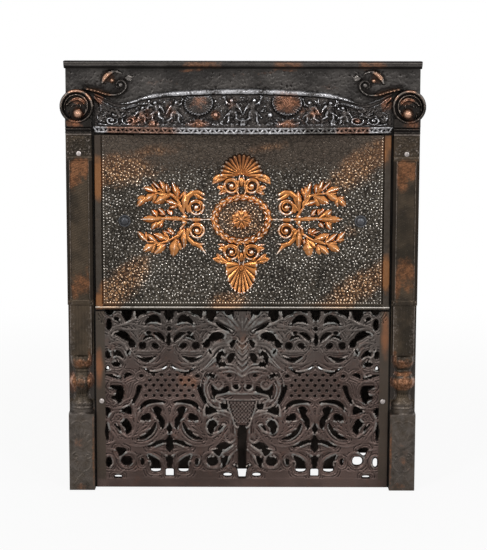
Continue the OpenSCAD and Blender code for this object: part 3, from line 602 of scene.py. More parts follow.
cornice_outline = ([(0, 749), (0, 762), (-27.4, 762)] + arc_of(-27.4, 761.4, 0.6, 90, 180, 3)
                   + [(-28, 758.4), (-26.2, 758.0)] + arc_of(-25.6, 756.7, 1.2, 110, 250)
                   + [(-24.6, 755.2), (-24.6, 753.4), (-22.0, 753.0)]
                   + arc_of(-21.2, 751.9, 1.1, 110, 250) + [(-18.6, 750.4), (-18.0, 749)])
cornice_patches = [(-70, 34), (77, 26), (222, 26)]


def cornice_flash(x, y, z):
    return max(np.clip(1.3 - abs(x - at) / half, 0, 0.7) for at, half in cornice_patches)


# Painted highlight on the fronts of the upper fillet and the cyma, and painted shade on the flat
# top and along the lower mouldings next to the header.
def cornice_highlight(x, y, z):
    return 0.85 if (y < -27.2 and z < 760) or (z < 756.5 and y < -26) else 0.0


def cornice_shade(x, y, z):
    return 1.0 if z > 760.6 or (y > -24 and z < 755) else 0.0


cornice_piece = drawn("cornice_moulding", cornice_outline, 309.5, 120, front_iron,
                      {"flash": cornice_flash, "ridge": cornice_highlight,
                       "hollow": cornice_shade})
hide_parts("cornice")
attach(cornice_piece, "frame")


# ---- Hood ----
# A bowed cast shell that springs from the header and flares forward to the pierced band. Its
# rim is a rolled edge polished by wear and painted with a highlight, with painted shade just
# below it. Under it stand two shells, small figures with torches, pedestals and acanthus
# scrolls, all cast in low relief.

hood_half = 257.75
hood_foot = 649.0
hood_tall = 66.0
hood_bow = 30
hood_step = 1.1
hood_pebbles, hood_tufts = 1500, 150
shell_x, shell_z = 76.5, 41
hood_radius = (hood_half ** 2 + hood_bow ** 2) / (2 * hood_bow)
foremost = -43.9


def rim_foot(u):
    """Where the rolled rim begins, as a share of the height: it thins toward both ends."""
    return 0.845 + 0.095 * np.clip((u - 0.62) / 0.2, 0, 1)


def hood_skin(x, v):
    """The bare shell at x and at the share v of its height."""
    u = np.abs(x) / hood_half
    bow = hood_bow - (hood_radius - np.sqrt(hood_radius ** 2 - x * x))
    corner = np.clip((u - 0.8) / 0.2, 0, 1) ** 2
    dip = 21 * u * u + 12 * np.exp(-((u - 0.80) / 0.13) ** 2)
    rim = hood_foot + hood_tall - dip * (1 - corner) - 8 * corner
    rim -= 0.7 * (np.sin(x * 0.23) * np.sin(x * 0.083 + 1)) ** 2
    low = rim_foot(u)
    arch = np.sin(np.clip((v - low) / (1 - low), 0, 1) * math.pi)
    roll = np.where(v > low, (32.5 * (1 - low) - 0.75) * np.clip(arch, 0, 1) ** 0.45, 0)
    y = -14 - bow * np.clip(1 - v, 0, 1) ** 1.4 - roll
    return y, hood_foot + (rim - hood_foot) * v


def hood_place(x, z, h):
    v = z / hood_tall
    y, up = hood_skin(x, v)
    next_y, next_up = hood_skin(x, np.clip(v + 0.01, 0, 1.01))
    fall, rise = next_y - y, next_up - up
    size = np.maximum(np.hypot(fall, rise), 1e-6)
    return x, np.maximum(y - h * rise / size, foremost), up + h * fall / size


def hood_back(x, z):
    v = z / hood_tall
    _, y, up = hood_place(x, z, 0)
    return x, np.where(v > 0.86, -8.0, y + 4), up


hood = Relief(even(-hood_half, hood_half, hood_step), even(0, hood_tall, hood_step),
              Relief.solid)
hood.height += 0.25 * np.sin(hood.X * 0.9 + 3 * np.sin(hood.Z * 0.31)) * np.sin(hood.Z * 1.1)


def coil(centre, r0, r1, a0, a1, n=0):
    """A spiral from radius r0 at angle a0 to radius r1 at angle a1."""
    n = n or max(6, int(abs(a1 - a0) / 12))
    t = np.linspace(0, 1, n + 1)
    turn = np.radians(a0 + (a1 - a0) * t)
    r = r0 + (r1 - r0) * t
    return np.stack([centre[0] + r * np.cos(turn), centre[1] + r * np.sin(turn)], axis=1)


def shell(relief, centre, rx, rz, flutes, crest, a0=0, a1=360, depth=0.55):
    """A scallop: flutes that fan from a hinge, with a rolled rim."""
    spot = relief.part(np.array([centre]), max(rx, rz) + 3)
    X = (relief.X[spot] - centre[0]) / rx
    Z = (relief.Z[spot] - centre[1]) / rz
    far = np.hypot(X, Z)
    turn = np.arctan2(Z, X)
    wave = 0.5 + 0.5 * np.cos(turn * flutes)
    edge = 1.0 + 0.035 * np.cos(turn * flutes)
    bowl = crest * (0.35 + 0.65 * np.clip(far / edge, 0, 1) ** 2.2)
    rise = bowl * (1 - depth + depth * wave ** 0.6) * np.clip((edge - far) / 0.09, 0, 1) ** 0.5
    edge = np.where((np.degrees(turn) % 360 - a0) % 360 <= a1 - a0, edge, 0.0)
    relief.lift(spot, np.where(far < edge, rise, relief.below), (edge - far) * min(rx, rz))


def tuft(relief, foot, count, size, spread, lean=90.0, crest=2.4, wide=0.34):
    """A fan of small leaves."""
    for k in range(count):
        turn = lean + spread * (k - (count - 1) / 2) / max(count - 1, 1)
        far = size * (1 - 0.25 * abs(k - (count - 1) / 2) / max(count / 2, 1))
        relief.leaf(foot, on_oval(foot, far, far, turn), far * wide, far * 0.06,
                    [crest, crest, crest * 0.5])


def figure(relief, x, foot, facing, tall):
    """A small running figure with a raised torch, drawn 38 mm tall and then scaled."""
    drawn_tall = 38

    def at(px, pz):
        return (x + facing * px * tall / drawn_tall, foot + pz * tall / drawn_tall)

    limbs = [((-1, 20), (-7, 15), (-5, 8), (8.4, 5.4)), ((-5, 8), (-9, 5), (-13, 3), (5.0, 3.0)),
             ((1, 20), (8, 17), (7, 9), (8.0, 5.2)), ((7, 9), (6, 4), (9, 1), (4.8, 3.2)),
             ((0, 18), (-1, 25), (1, 31), (9.4, 9.8)), ((2, 30), (7, 29), (11, 34), (4.8, 3.2)),
             ((1, 30), (-5, 28), (-9, 23), (4.8, 3.0)), ((11, 30), (12, 36), (14, 42), (2.4, 2.0)),
             ((-6, 30), (-12, 24), (-15, 14), (6.0, 2.0)), ((3, 16), (12, 14), (15, 7), (5.0, 1.6))]
    for a, c, b, widths in limbs:
        relief.stroke(bend(at(*a), at(*c), at(*b), 6), widths, [3.6, 3.2], round_top)
    relief.boss(at(2.5, 36), 3.9, 4.2, 4.6)
    for tip in ((-9, 33), (-11, 29), (-10, 25)):
        relief.leaf(at(-1, 28), at(*tip), 3.6, facing, [2.6])
    for tip in ((11, 46), (14, 48), (17, 45)):
        relief.stroke([at(14, 40), at(*tip)], [2.6, 0.8], [2.8], round_top)


def away_from_shells(spot):
    return math.hypot(abs(spot[0]) - shell_x, spot[1] - shell_z)


def steep_sides(u):
    return np.clip(6 - 6 * abs(u), 0, 1)


for _ in range(hood_pebbles):
    spot = (rng.uniform(-250, 250), rng.uniform(2, 52))
    if away_from_shells(spot) > 26:
        hood.boss(spot, rng.uniform(1.2, 3.0), rng.uniform(0.9, 1.7), rng.uniform(0.8, 2.4),
                  rng.uniform(0, 180))
for _ in range(hood_tufts):
    foot = (rng.uniform(-250, 250), rng.uniform(4, 46))
    if away_from_shells(foot) > 34:
        tuft(hood, foot, 2, rng.uniform(6, 12), 60, rng.uniform(0, 360), rng.uniform(1.6, 2.8),
             0.42)
for x, z, rx, rz in ((-shell_x, shell_z, 25, 21), (shell_x, shell_z + 1, 26, 22)):
    shell(hood, (x, z), rx, rz, 28, 4.6, depth=0.42)
    for k in range(26):
        hood.boss(on_oval((x, z), rx * 0.96, rz * 0.96, 130 + 280 * k / 25), 1.9, 1.9, 5.8)
    for lean in (50, 90, 130):
        tuft(hood, (x, 6), 1, 15, 0, lean, 3.4, 0.4)
    hood.stroke(bend((x - 16, 1.5), (x, 15), (x + 16, 1.5)), [3, 4, 3], [3.2], round_top)
    for side in (-1, 1):
        hood.stroke(bend((x + side * 22, 8), (x + side * 10, 2), (x, 9)), [2, 3.4], [3.0],
                    round_top)
    hood.boss((x, 4), 4, 4, 4.2)
for side in (-1, 1):
    hood.boss((side * 47, 21), 4.8, 4.8, 5.0)
    tuft(hood, (side * 47, 3), 5, 13, 120, 90, 2.6)
    for x, foot, facing, tall in ((17, 7, side, 40), (118, 8, -side, 38), (150, 12, side, 36),
                                  (176, 6, -side, 36)):
        figure(hood, side * x, foot, facing, tall)
    for x in (side * 156, 0):
        hood.stroke([(x, 0), (x, 11)], [10, 8.5], [3.6], steep_sides)
        hood.stroke([(x - 6.5, 11), (x + 6.5, 11)], [2.6], [4.4], round_top)
    for x in range(28, 250, 11):
        tuft(hood, (side * (x + 3 * math.sin(x)), 1.5), 3, 8 + 2 * math.sin(x * 1.7), 80, 90, 2.2)
    points = bend((side * 255, 58), (side * 232, 44), (side * 206, 52), 14)
    hood.stroke(points, [13, 11, 4], [4.2, 4.0, 2.4], leaf_top)
    for k in range(7):
        root = points[2 + 2 * k - (k > 5)]
        hood.leaf(root, (root[0] - side * 9, root[1] - 17 + k), 6.5, side * 2.2, [3.4, 3.2, 1.6])
    for x, size, way, stop, eye in ((197, 12.5, -side, 520, 3.6), (228, 11.5, side, 470, 3.4)):
        hood.stroke(coil((side * x, 15), size, 3, 90 + way * 60, 90 + way * stop), [3, 5, 3],
                    [3.8], round_top)
        hood.boss((side * x, 15), eye, eye, 4.6)
    for k, (lean, far) in enumerate(((150, 17), (175, 15), (205, 13), (120, 15), (60, 14),
                                     (30, 13))):
        tip = on_oval((side * 213, 26), far, far, lean if side < 0 else 180 - lean)
        hood.leaf((side * 213, 26), tip, 6, 1.2 * (-1) ** k, [3.4])
    hood.stroke(bend((side * 208, 50), (side * 190, 55), (side * 164, 47)), [9, 8, 4],
                [4.4, 3.8, 2.6], leaf_top)
    hood.stroke(bend((side * 250, 6), (side * 236, 1), (side * 212, 3)), [3, 4.5, 3], [3.4],
                round_top)
    tuft(hood, (side * 250, 12), 5, 16, 110, 90 + side * 50, 3.0)
low_edge = rim_foot(np.abs(hood.X) / hood_half)
from_rim = hood.Z / hood_tall - low_edge
hood.height *= (np.clip(hood.Z / 4, 0, 1)
                * np.clip((hood_tall * low_edge - hood.Z) / 2.5, 0, 1))
hood_flash = [(-76.5, 42, 22, 19, 0, 0.42), (76.5, 43, 25, 21, 0, 0.85), (-47, 21, 8, 8, 0, 1.1),
              (-156, 5, 12, 10, 0, 0.9), (-172, 18, 26, 22, 0, 0.55), (-128, 28, 12, 20, 0, 0.45),
              (-20, 40, 20, 10, 0, 0.4), (120, 26, 30, 20, 0, 0.45), (-190, 14, 14, 14, 0, 0.9),
              (-250, 58, 10, 12, 0, 1.0), (250, 52, 12, 18, 0, 0.9), (198, 14, 9, 8, 0, 0.9),
              (-76.5, 5, 20, 8, 0, 0.8), (76.5, 5, 20, 9, 0, 0.8)]
hood_layers = carved(hood, 3.4, 1.7, hood_flash)
# Painted highlight along the rolled rim, which also stands for its wear, and painted shade in a
# band just below the rim.
rolled = np.clip((from_rim - 0.005) / 0.015, 0, 1)
rim_wear_and_highlight = 0.56 + 0.2 * np.sin(hood.X * 0.11 + 1) * np.sin(hood.X * 0.037)
rim_wear_and_highlight -= 0.26 * np.clip((np.abs(hood.X) - 145) / 70, 0, 1)
shade = 0.7 * np.clip((from_rim + 0.07) / 0.06, 0, 1) * (1 - rolled)
hood_layers["ridge"] = (np.maximum(0.7 * hood_layers["ridge"][0], rolled * rim_wear_and_highlight), 0.0)
hood_layers["hollow"] = (np.maximum(hood_layers["hollow"][0], shade), 1.0)
hood_iron = flashed_iron("hood_iron", rgb(0.022, 0.019, 0.018), rgb(0.052, 0.045, 0.041),
                         rgb(0.17, 0.075, 0.042), rgb(0.56, 0.555, 0.575), 0.26, 0.9,
                         rgb(0.58, 0.34, 0.26))
hood_piece = casting("hood_shell", hood, hood_place, hood_back, hood_iron, hood_layers, True)
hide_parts("hood_frieze")
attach(hood_piece, "frame")


# ---- Pierced band ----
# A bowed strip under the hood: two rolled beads with a zig-zag of thin bars between them, so
# that the openings are triangles. Handling has worn it bright, with copper left in places, and
# white flecks of painted highlight lie over it.

class Pattern(Nodes):
    """A geometry node tree with named sizes. made() turns its result into a plain mesh."""

    def __init__(self, name):
        self.tree = bpy.data.node_groups.new(name, "GeometryNodeTree")
        self.tree.is_modifier = True
        self.socket("Result", "OUTPUT", "NodeSocketGeometry")
        self.entry = self.tree.nodes.new("NodeGroupInput")
        self.exit = self.tree.nodes.new("NodeGroupOutput")
        self.values = {}

    def socket(self, label, in_out, kind):
        return self.tree.interface.new_socket(label, in_out=in_out, socket_type=kind)

    def size(self, label, value):
        self.values[self.socket(label, "INPUT", "NodeSocketFloat").identifier] = value
        return Wire(self, self.entry.outputs[label])

    def point(self, x=0.0, y=0.0, z=0.0):
        return self.add("ShaderNodeCombineXYZ", {}, {0: x, 1: y, 2: z})

    def place(self):
        return self.add("GeometryNodeInputPosition", {}, {})

    def index(self):
        return self.add("GeometryNodeInputIndex", {}, {})

    def moved(self, shape, place):
        return self.add("GeometryNodeSetPosition", {}, {"Geometry": shape, "Position": place})

    def line(self, count, start, stop):
        """Points spread evenly from start to stop."""
        return self.add("GeometryNodeMeshLine", {"mode": "END_POINTS"},
                        {"Count": count, "Start Location": start, "Offset": stop})

    def copies(self, points, shape, **sockets):
        return self.add("GeometryNodeInstanceOnPoints", {},
                        {"Points": points, "Instance": shape, **sockets})

    def joined(self, parts):
        join = self.tree.nodes.new("GeometryNodeJoinGeometry")
        for part in parts:
            self.tree.links.new(part.socket, join.inputs[0])
        return Wire(self, join.outputs[0])

    def made(self, name, result, material, angle=38.0):
        real = self.add("GeometryNodeRealizeInstances", {}, {0: result})
        painted = self.add("GeometryNodeSetMaterial", {}, {"Geometry": real,
                                                           "Material": material})
        self.tree.links.new(painted.socket, self.exit.inputs[0])
        piece = bpy.data.objects.new(name, bpy.data.meshes.new(name))
        bpy.context.collection.objects.link(piece)
        layer = piece.modifiers.new("pattern", "NODES")
        layer.node_group = self.tree
        for key, value in self.values.items():
            layer[key] = value
        bpy.context.view_layer.update()
        graph = bpy.context.evaluated_depsgraph_get()
        mesh = bpy.data.meshes.new_from_object(piece.evaluated_get(graph), depsgraph=graph)
        bpy.data.objects.remove(piece)
        mesh.name = name
        return stand(name, mesh, material, angle)


def band_of_triangles(material):
    band = Pattern("pierced_band")
    radius = band.size("Bow radius", hood_radius / 1000)
    span = band.size("Half span", 0.2568)
    pitch = band.size("Pitch of the bars", 0.0073)
    tall = band.size("Band height", 0.012)
    foot = band.size("Foot height", 0.637)
    thick = band.size("Bar thickness", 0.0040)
    bead = band.size("Bead radius", 0.0023)
    centre_y = hood_radius / 1000 - 0.0416
    count = band.maths("FLOOR", band.maths("DIVIDE", span * 2.0, pitch))
    line = band.line(count, band.point(span * -1.0), band.point(span))
    x = band.split(band.place(), "X")[0]

    def bowed(share):
        """The line of points at a share of the band's height, bowed like the hood."""
        y = centre_y - band.maths("SQRT", radius * radius - x * x)
        return band.point(x, y, foot + tall * share)

    parts = []
    for share, fat in ((0.20, 0.78), (0.84, 1.0)):
        path = band.add("GeometryNodeMeshToCurve", {}, {"Mesh": line})
        ring = band.add("GeometryNodeCurvePrimitiveCircle", {"mode": "RADIUS"},
                        {"Resolution": 12, "Radius": bead * fat})
        parts.append(band.add("GeometryNodeCurveToMesh", {}, {
            "Curve": band.moved(path, bowed(share)), "Profile Curve": ring, "Fill Caps": True}))
    bar = band.add("GeometryNodeMeshCylinder", {},
                   {"Vertices": 8, "Radius": thick * 0.5, "Depth": tall * 0.92})
    lean = (band.maths("MODULO", band.index(), 2.0) - 0.5) * 1.36
    swing = band.maths("ARCSINE", band.maths("DIVIDE", x, radius))
    parts.append(band.copies(band.moved(line, bowed(0.5)), bar,
                             Rotation=band.point(0.0, lean, swing)))
    return band.made("band_of_triangles", band.joined(parts), material)


def bright_iron_finish():
    iron = Finish("bright_iron")
    patch = iron.cloud(26.0, 4.0, 0.6)
    fleck = iron.cloud(240.0, 4.0, 0.7)
    grain = iron.cloud(800.0, 2.0)
    x = iron.split(iron.at, "X")[0]
    left = (x + 0.246).clear_of(0.0, 0.02) * (-0.085 - x).clear_of(0.0, 0.06)
    right = (x - 0.152).clear_of(0.0, 0.02) * (0.230 - x).clear_of(0.0, 0.02)
    dull = (x - 0.084).clear_of(0.0, 0.03) * (0.170 - x).clear_of(0.0, 0.02)
    coppered = (left + right + 0.9 * (patch - 0.5)).clear_of(0.10, 0.85)
    colour = iron.mix(coppered * 0.9, rgb(0.40, 0.395, 0.405), rgb(0.205, 0.098, 0.058))
    colour = iron.mix(dull * 0.85, colour, rgb(0.055, 0.050, 0.042))
    colour = iron.mix(fleck.clear_of(0.40, 0.66) * 0.8, colour, rgb(0.040, 0.030, 0.026))
    # Painted highlight: near-white flecks, partly bare metal and partly glints of light.
    bare_and_glint = fleck.clear_of(0.42, 0.28) * (1.0 - 0.65 * coppered) * (1.0 - 0.7 * dull)
    colour = iron.mix(bare_and_glint, colour, rgb(0.95, 0.93, 0.93))
    return iron.done(Base_Color=colour, Metallic=0.9, Roughness=0.28 + 0.3 * fleck,
                     Normal=iron.bump(grain + fleck, 0.4, 0.0005))


band_piece = band_of_triangles(bright_iron_finish())
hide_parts("perforated_band")
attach(band_piece, "frame")


# ---- Pilasters ----
# One casting on each side: an engraved base block, a half-round baluster wrapped in leaves, a
# reeded shaft, a long field with a small diaper between two fillets, and a cap panel.

pilaster_middle = 285.25
half_wide = 22.75
base_top, baluster_top, reeds_top = 140, 243, 334
field_foot, field_top = 343, 590
baluster_widest = 20.75
bead_x, fillet_x = 18, 15.9
reed_turn = 2 * math.pi / 5.3

edge_steps = [22.75, 22.4, 21.8, 21.0]
steps_x = np.concatenate([[-v for v in edge_steps], np.linspace(-20, 20, 41), edge_steps[::-1]])
levels = [0.0, 0.35, 1.2]
for low, high in ((2.0, 138.6), (141.4, 241.8), (244.2, 333.2), (334.8, 341.4), (342.6, 592.6),
                  (593.6, 595.6), (596.6, 632.8), (634.2, 636.6)):
    levels += list(np.linspace(low, high, max(2, int((high - low) / 1.25) + 1)))
    levels += [high + 0.35]
levels += [637.5]
levels = sorted(set(round(v, 3) for v in levels))
baluster_marks = [(0, 1), (0.05, 1), (0.065, 0.93), (0.08, 0.97), (0.095, 0.97), (0.11, 0.92),
                  (0.125, 0.93), (0.14, 0.97), (0.18, 0.95), (0.22, 0.82), (0.27, 0.69),
                  (0.33, 0.63), (0.40, 0.74), (0.46, 0.91), (0.53, 1.05), (0.59, 1.01),
                  (0.64, 0.86), (0.68, 0.74), (0.70, 0.67), (0.73, 0.71), (0.76, 0.67),
                  (0.79, 0.78), (0.84, 0.9), (0.9, 0.97), (1, 0.98)]


def baluster_radius(z):
    share = (z - base_top) / (baluster_top - base_top)
    return baluster_widest * np.interp(share, *zip(*baluster_marks))


def bulge(values, middle, half):
    """A half-round moulding: 1 in its middle and 0 from half a width away."""
    return np.sqrt(np.clip(1 - ((values - middle) / half) ** 2, 0, 1))


def diaper(x, z):
    return np.cos((z - 0.45 * x) * 1.4) + 0.5 * np.cos((z + 0.8 * x) * 1.5)


def pilaster_face(x, z):
    """How far the pilaster's face stands in front of the header's plane, in millimetres."""
    away = np.abs(x)
    depth = np.full_like(x, 21.0)
    depth = np.where(z < base_top, 28.0, depth)
    r = baluster_radius(z)
    post = np.where(away < r, 6 + np.sqrt(np.clip(r * r - x * x, 0, None)) * 0.97, 10.0)
    depth = np.where((z >= base_top) & (z < baluster_top), np.maximum(post, 10), depth)
    reed = 19.6 + 0.22 * np.cos(away * reed_turn) * (away < 16.5) + 0.7 * bulge(away, bead_x, 0.9)
    reed = np.where(away > 19.2, 10.5, reed)
    depth = np.where((z >= baluster_top) & (z < reeds_top), reed, depth)
    field = (z > field_foot) & (z < field_top)
    flat = 21 + 0.5 * bulge(away, fillet_x, 0.8) - np.where(away < 15.2, 1.2, 0)
    depth = np.where(field, flat, depth)
    inner = field & (away < 14.6) & (z > 346) & (z < 588)
    depth = np.where(inner, depth + 0.15 * diaper(x, z), depth)
    for low, high, out in ((334, 342, 0.25), (593, 596, 0.5), (633.4, 637.5, 2.0)):
        roll = out * bulge(z, (low + high) / 2, (high - low) / 2)
        depth = np.where((z > low) & (z < high), 21 + roll, depth)
    corner = np.clip((away - (half_wide - 1.6)) / 1.6, 0, 1)
    return depth - 1.6 * (1 - np.sqrt(1 - corner ** 2))


def engraved(post):
    """The leaves and curls of a pilaster, and the pebbled ground of its cap panel."""
    for k in range(-3, 4):
        c, s = cos_sin(90 + k * 22)
        tip = (24 * c * 0.8, 78 + 34 * s)
        post.leaf((0, 76), tip, 7, 0, [0.7])
        post.leaf((0, 62), (tip[0] * 0.8, base_top - tip[1] + 4), 6, 0, [0.6])
    for side in (-1, 1):
        post.stroke(coil((side * 11, 62), 7, 2, 90, 90 - side * 400), [2.6, 2.2], [0.7],
                    round_top)
        for a, c, b in (((3, 34), (17, 36), (17, 52)), ((18, 120), (9, 131), (0, 122))):
            line = bend(a, c, b) * (side, 1)
            post.stroke(line, [2, 3, 2], [0.6], round_top)
        post.boss((side * 19, 340), 2.4, 4.0, 3.0, -side * 25)
    for k in range(-2, 3):
        post.leaf((0, 30), (k * 7, 12 - abs(k)), 5, 0, [0.6])
        post.leaf((k * 6.5, 180), (k * 8.6, 204), 7.5, 0, [1.2, 1.8, 0.8])
        post.leaf((k * 5, 190), (k * 3.6, 168), 4.5, 0, [1.2])
        post.leaf((k * 7, 226), (k * 8, 243), 7, 0, [0.6, 1.2, 0.6])
    for _ in range(120):
        post.boss((rng.uniform(-20, 20), rng.uniform(600, 631)), rng.uniform(1.2, 2.4),
                  rng.uniform(0.9, 1.5), rng.uniform(0.4, 1.8), rng.uniform(0, 180))


def pilaster_casting(name, node, side, flashes):
    post = Relief(steps_x, levels, Relief.solid)
    engraved(post)
    away = np.abs(post.X)
    post.height *= np.clip((half_wide - 0.8 - away) / 1.5, 0, 1)
    post.height = pilaster_face(post.X, post.Z) + post.height
    layers = carved(post, 3.5, 2.2, flashes)
    shaft = (post.Z > field_foot) & (post.Z < field_top)
    reeds = (post.Z > 245) & (post.Z < 333)
    bulb = (post.Z > 163) & (post.Z < baluster_top)
    radius = baluster_radius(post.Z)
    # Painted highlights: thin light lines along the fillets, the bead, the baluster's edges and the
    # top of the base block, and light spots on the reeds and the diaper.
    line = 0.75 * np.clip(1 - np.abs(away - fillet_x) / 1.0, 0, 1) * shaft
    line += 0.75 * np.clip(1 - np.abs(away - bead_x) / 0.9, 0, 1) * reeds
    line += 1.0 * np.clip(away / radius - 0.72, 0, 0.2) / 0.2 * bulb
    line += 0.8 * np.clip(1 - np.abs(post.Z - 139.5) / 1.2, 0, 1)
    line += 0.16 * bulb
    line += 0.24 * np.clip(np.cos(away * reed_turn), 0, 1) * (away < 16.5) * reeds
    line += 0.34 * np.clip((diaper(post.X, post.Z) - 0.8) / 0.5, 0, 1) * (away < 14.6) * shaft
    calm = np.where(post.Z < 592, 0.3, 1.0) * np.where(post.Z < 137, 0.5, 1.0)
    # Painted shade beside the field's fillets, over the cap panel and on the ground beside the
    # baluster.
    shade = 0.55 * np.clip(away - 17, 0, 1) * shaft + 0.26 * (post.Z > 597)
    shade += 0.7 * (away > radius + 0.2) * bulb
    layers["ridge"] = (np.maximum(layers["ridge"][0] * calm, line), 0.0)
    layers["flash"] = (layers["flash"][0] * np.where(shaft & (away > 16.6), 0.15, 1.0), 0.0)
    layers["hollow"] = (np.maximum(layers["hollow"][0] * calm, shade), 1.0)
    middle = side * pilaster_middle
    piece = casting(name, post, plane(0, middle), plane(-6, middle), pilaster_iron, layers)
    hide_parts(node)
    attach(piece, "frame")


pilaster_iron = flashed_iron("pilaster_iron", rgb(0.030, 0.0235, 0.0170),
                             rgb(0.070, 0.051, 0.034), rgb(0.170, 0.074, 0.034),
                             rgb(0.26, 0.220, 0.195), 0.38, edge_copper=rgb(0.55, 0.31, 0.22),
                             scuffed=0.162)
left_flashes = [(0, 580, 26, 17, 0, 0.85), (-8, 556, 15, 24, -14, 0.8),
                (8, 572, 14, 18, -12, 0.7), (2, 372, 22, 22, 14, 0.75),
                (-10, 362, 10, 20, 0, 0.7), (11, 388, 6, 18, 0, 0.6),
                (-16, 194, 8, 20, 0, 1.3), (16, 197, 7, 14, 0, 1.25), (15, 236, 5, 22, 0, 0.8),
                (0, 194, 18, 16, 0, 0.5), (0, 230, 20, 10, 0, 0.7), (0, 6, 20, 8, 0, 0.5),
                (20.5, 70, 3, 80, 0, 0.6), (-4, 90, 14, 22, 20, 0.35)]
right_flashes = [(0, 576, 26, 18, 0, 0.85), (-8, 558, 13, 26, 10, 0.85),
                 (8, 570, 13, 18, 10, 0.75), (0, 394, 24, 28, 8, 0.8),
                 (-12, 374, 8, 34, 0, 0.85), (6, 372, 13, 16, 0, 0.55),
                 (0, 194, 30, 12, 0, 1.3), (0, 211, 20, 5, 0, 1.1), (0, 230, 20, 10, 0, 0.75),
                 (-15, 238, 5, 18, 0, 0.8), (-6, 8, 16, 8, 0, 0.5), (-20.5, 70, 3, 80, 0, 0.6),
                 (4, 60, 14, 30, 20, 0.35)]
pilaster_casting("left_pilaster_casting", "left_pilaster", -1, left_flashes)
pilaster_casting("right_pilaster_casting", "right_pilaster", 1, right_flashes)


# ---- Volutes and capitals ----
# A scrolled disc on a moulded block at each corner, one casting bolted through the header. A
# rolled ring and a leaf run round to a copper ball that stands low in the disc's eye.

disc_shift, disc_z, disc_radius = 2.5, 684, 29.5
ball_z, ball_radius = 672, 8.6
volute_step = 0.8
dish_floor = 21.5


def ridge_top(u):
    return np.clip(1 - np.abs(u), 0, 1) ** 0.75


volute_strokes = [
    (bend((-17, 3), (-3, 17), (7, 12)), [3, 6.5, 7], [6.0], leaf_top),
    (bend((6, 12), (15, 9), (19, -4)), [7, 5.5, 2.5], [6.0, 5.4, 3], leaf_top),
    (bend((-16, 1), (-7, -2), (5, 5)), [1.6, 3.4, 2.4], [4.6], ridge_top),
    (bend((6, 4), (9, 0), (4, -3)), [3, 3.4, 2], [5.0], round_top),
    (bend((16, -5), (14, -15), (8, -21)), [3, 3.6, 2], [4.2], ridge_top),
    (bend((-13, -8), (-15, -16), (-9, -23)), [2, 3.6, 2], [4.0], ridge_top)]

volute_iron = flashed_iron("volute_iron", rgb(0.016, 0.014, 0.012), rgb(0.036, 0.030, 0.026),
                           rgb(0.25, 0.105, 0.055), rgb(0.20, 0.165, 0.14), 0.28,
                           edge_copper=rgb(0.60, 0.36, 0.25))


def volute_casting(name, node, side, flashes):
    disc = Relief(even(-33, 33, volute_step), even(637.5, 714.3, volute_step))
    far = np.hypot(disc.X - side * disc_shift, disc.Z - disc_z)
    block = np.minimum(half_wide - np.abs(disc.X), 663 - disc.Z)
    disc.metal = np.maximum(disc_radius - far, block)
    dish = dish_floor + 2.6 * np.clip(1 - far / 24, 0, 1)
    disc.height = np.where(far > 23.9, 22.5 + 5.4 * bulge(far, 26.7, 2.8), dish)
    steps = np.full_like(far, 25.2)
    for low, high, base, out in ((637.5, 640.6, 23.2, 1.8), (640.6, 642.4, 21.6, 0.0),
                                 (642.4, 646.8, 22.0, 2.2), (646.8, 648.2, 21.6, 0.0)):
        roll = out * bulge(disc.Z, (low + high) / 2, (high - low) / 2)
        steps = np.where((disc.Z >= low) & (disc.Z < high), base + roll, steps)
    steps -= 1.4 * np.clip((np.abs(disc.X) - 21.4) / 1.4, 0, 1) ** 2
    disc.height = np.where((far > disc_radius) | (disc.Z < 653), steps, disc.height)
    ring = (coil((0, 0), 21.3, 18.5, 200, -70), [2, 4.2, 3.2], [4.6], round_top)
    for line, widths, crest, shape in [ring] + volute_strokes:
        places = [(side * (disc_shift - x), disc_z + z) for x, z in line]
        disc.stroke(places, widths, crest, shape, dish_floor)
    ball = np.clip(1 - (disc.X ** 2 + (disc.Z - ball_z) ** 2) / ball_radius ** 2, 0, 1)
    dome = np.maximum(np.minimum(disc.height, 28), 24 + 11.8 * ball ** 0.5)
    disc.height = np.where(ball > 0, dome, disc.height)
    layers = carved(disc, 3, 2.0, flashes)
    # Painted highlight: the ring's crests stay light toward its top and are dimmed below, as if lit
    # from above.
    wear_and_highlight = np.where(far > 22, np.clip((disc.Z - ball_z) / 26, 0.35, 1.0), 1.0)
    layers["ridge"] = (layers["ridge"][0] * wear_and_highlight, 0.0)
    middle = side * pilaster_middle
    piece = casting(name, disc, plane(0, middle), plane(-8, middle), volute_iron, layers)
    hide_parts(node)
    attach(piece, "frame")


# The copper flash along the top of each ring, near z 711, is a painted copper highlight.
volute_casting("left_volute_casting", "left_volute", -1,
               [(1, 694, 15, 7, -10, 1.0), (0, 672, 10, 10, 0, 1.35), (-8, 655, 16, 10, 0, 0.7),
                (-4, 711, 22, 4, 0, 1.1), (20, 702, 8, 8, 0, 1.0)])
volute_casting("right_volute_casting", "right_volute", 1,
               [(-1, 694, 15, 7, 10, 0.9), (0, 672, 10, 10, 0, 1.35), (8, 655, 16, 10, 0, 0.6),
                (4, 711, 22, 4, 0, 0.6), (-20, 702, 8, 8, 0, 0.5)])


# ---- Pilaster screws ----
# Domed slotted heads that hold each pilaster to its jamb, worn bright by the screwdriver.

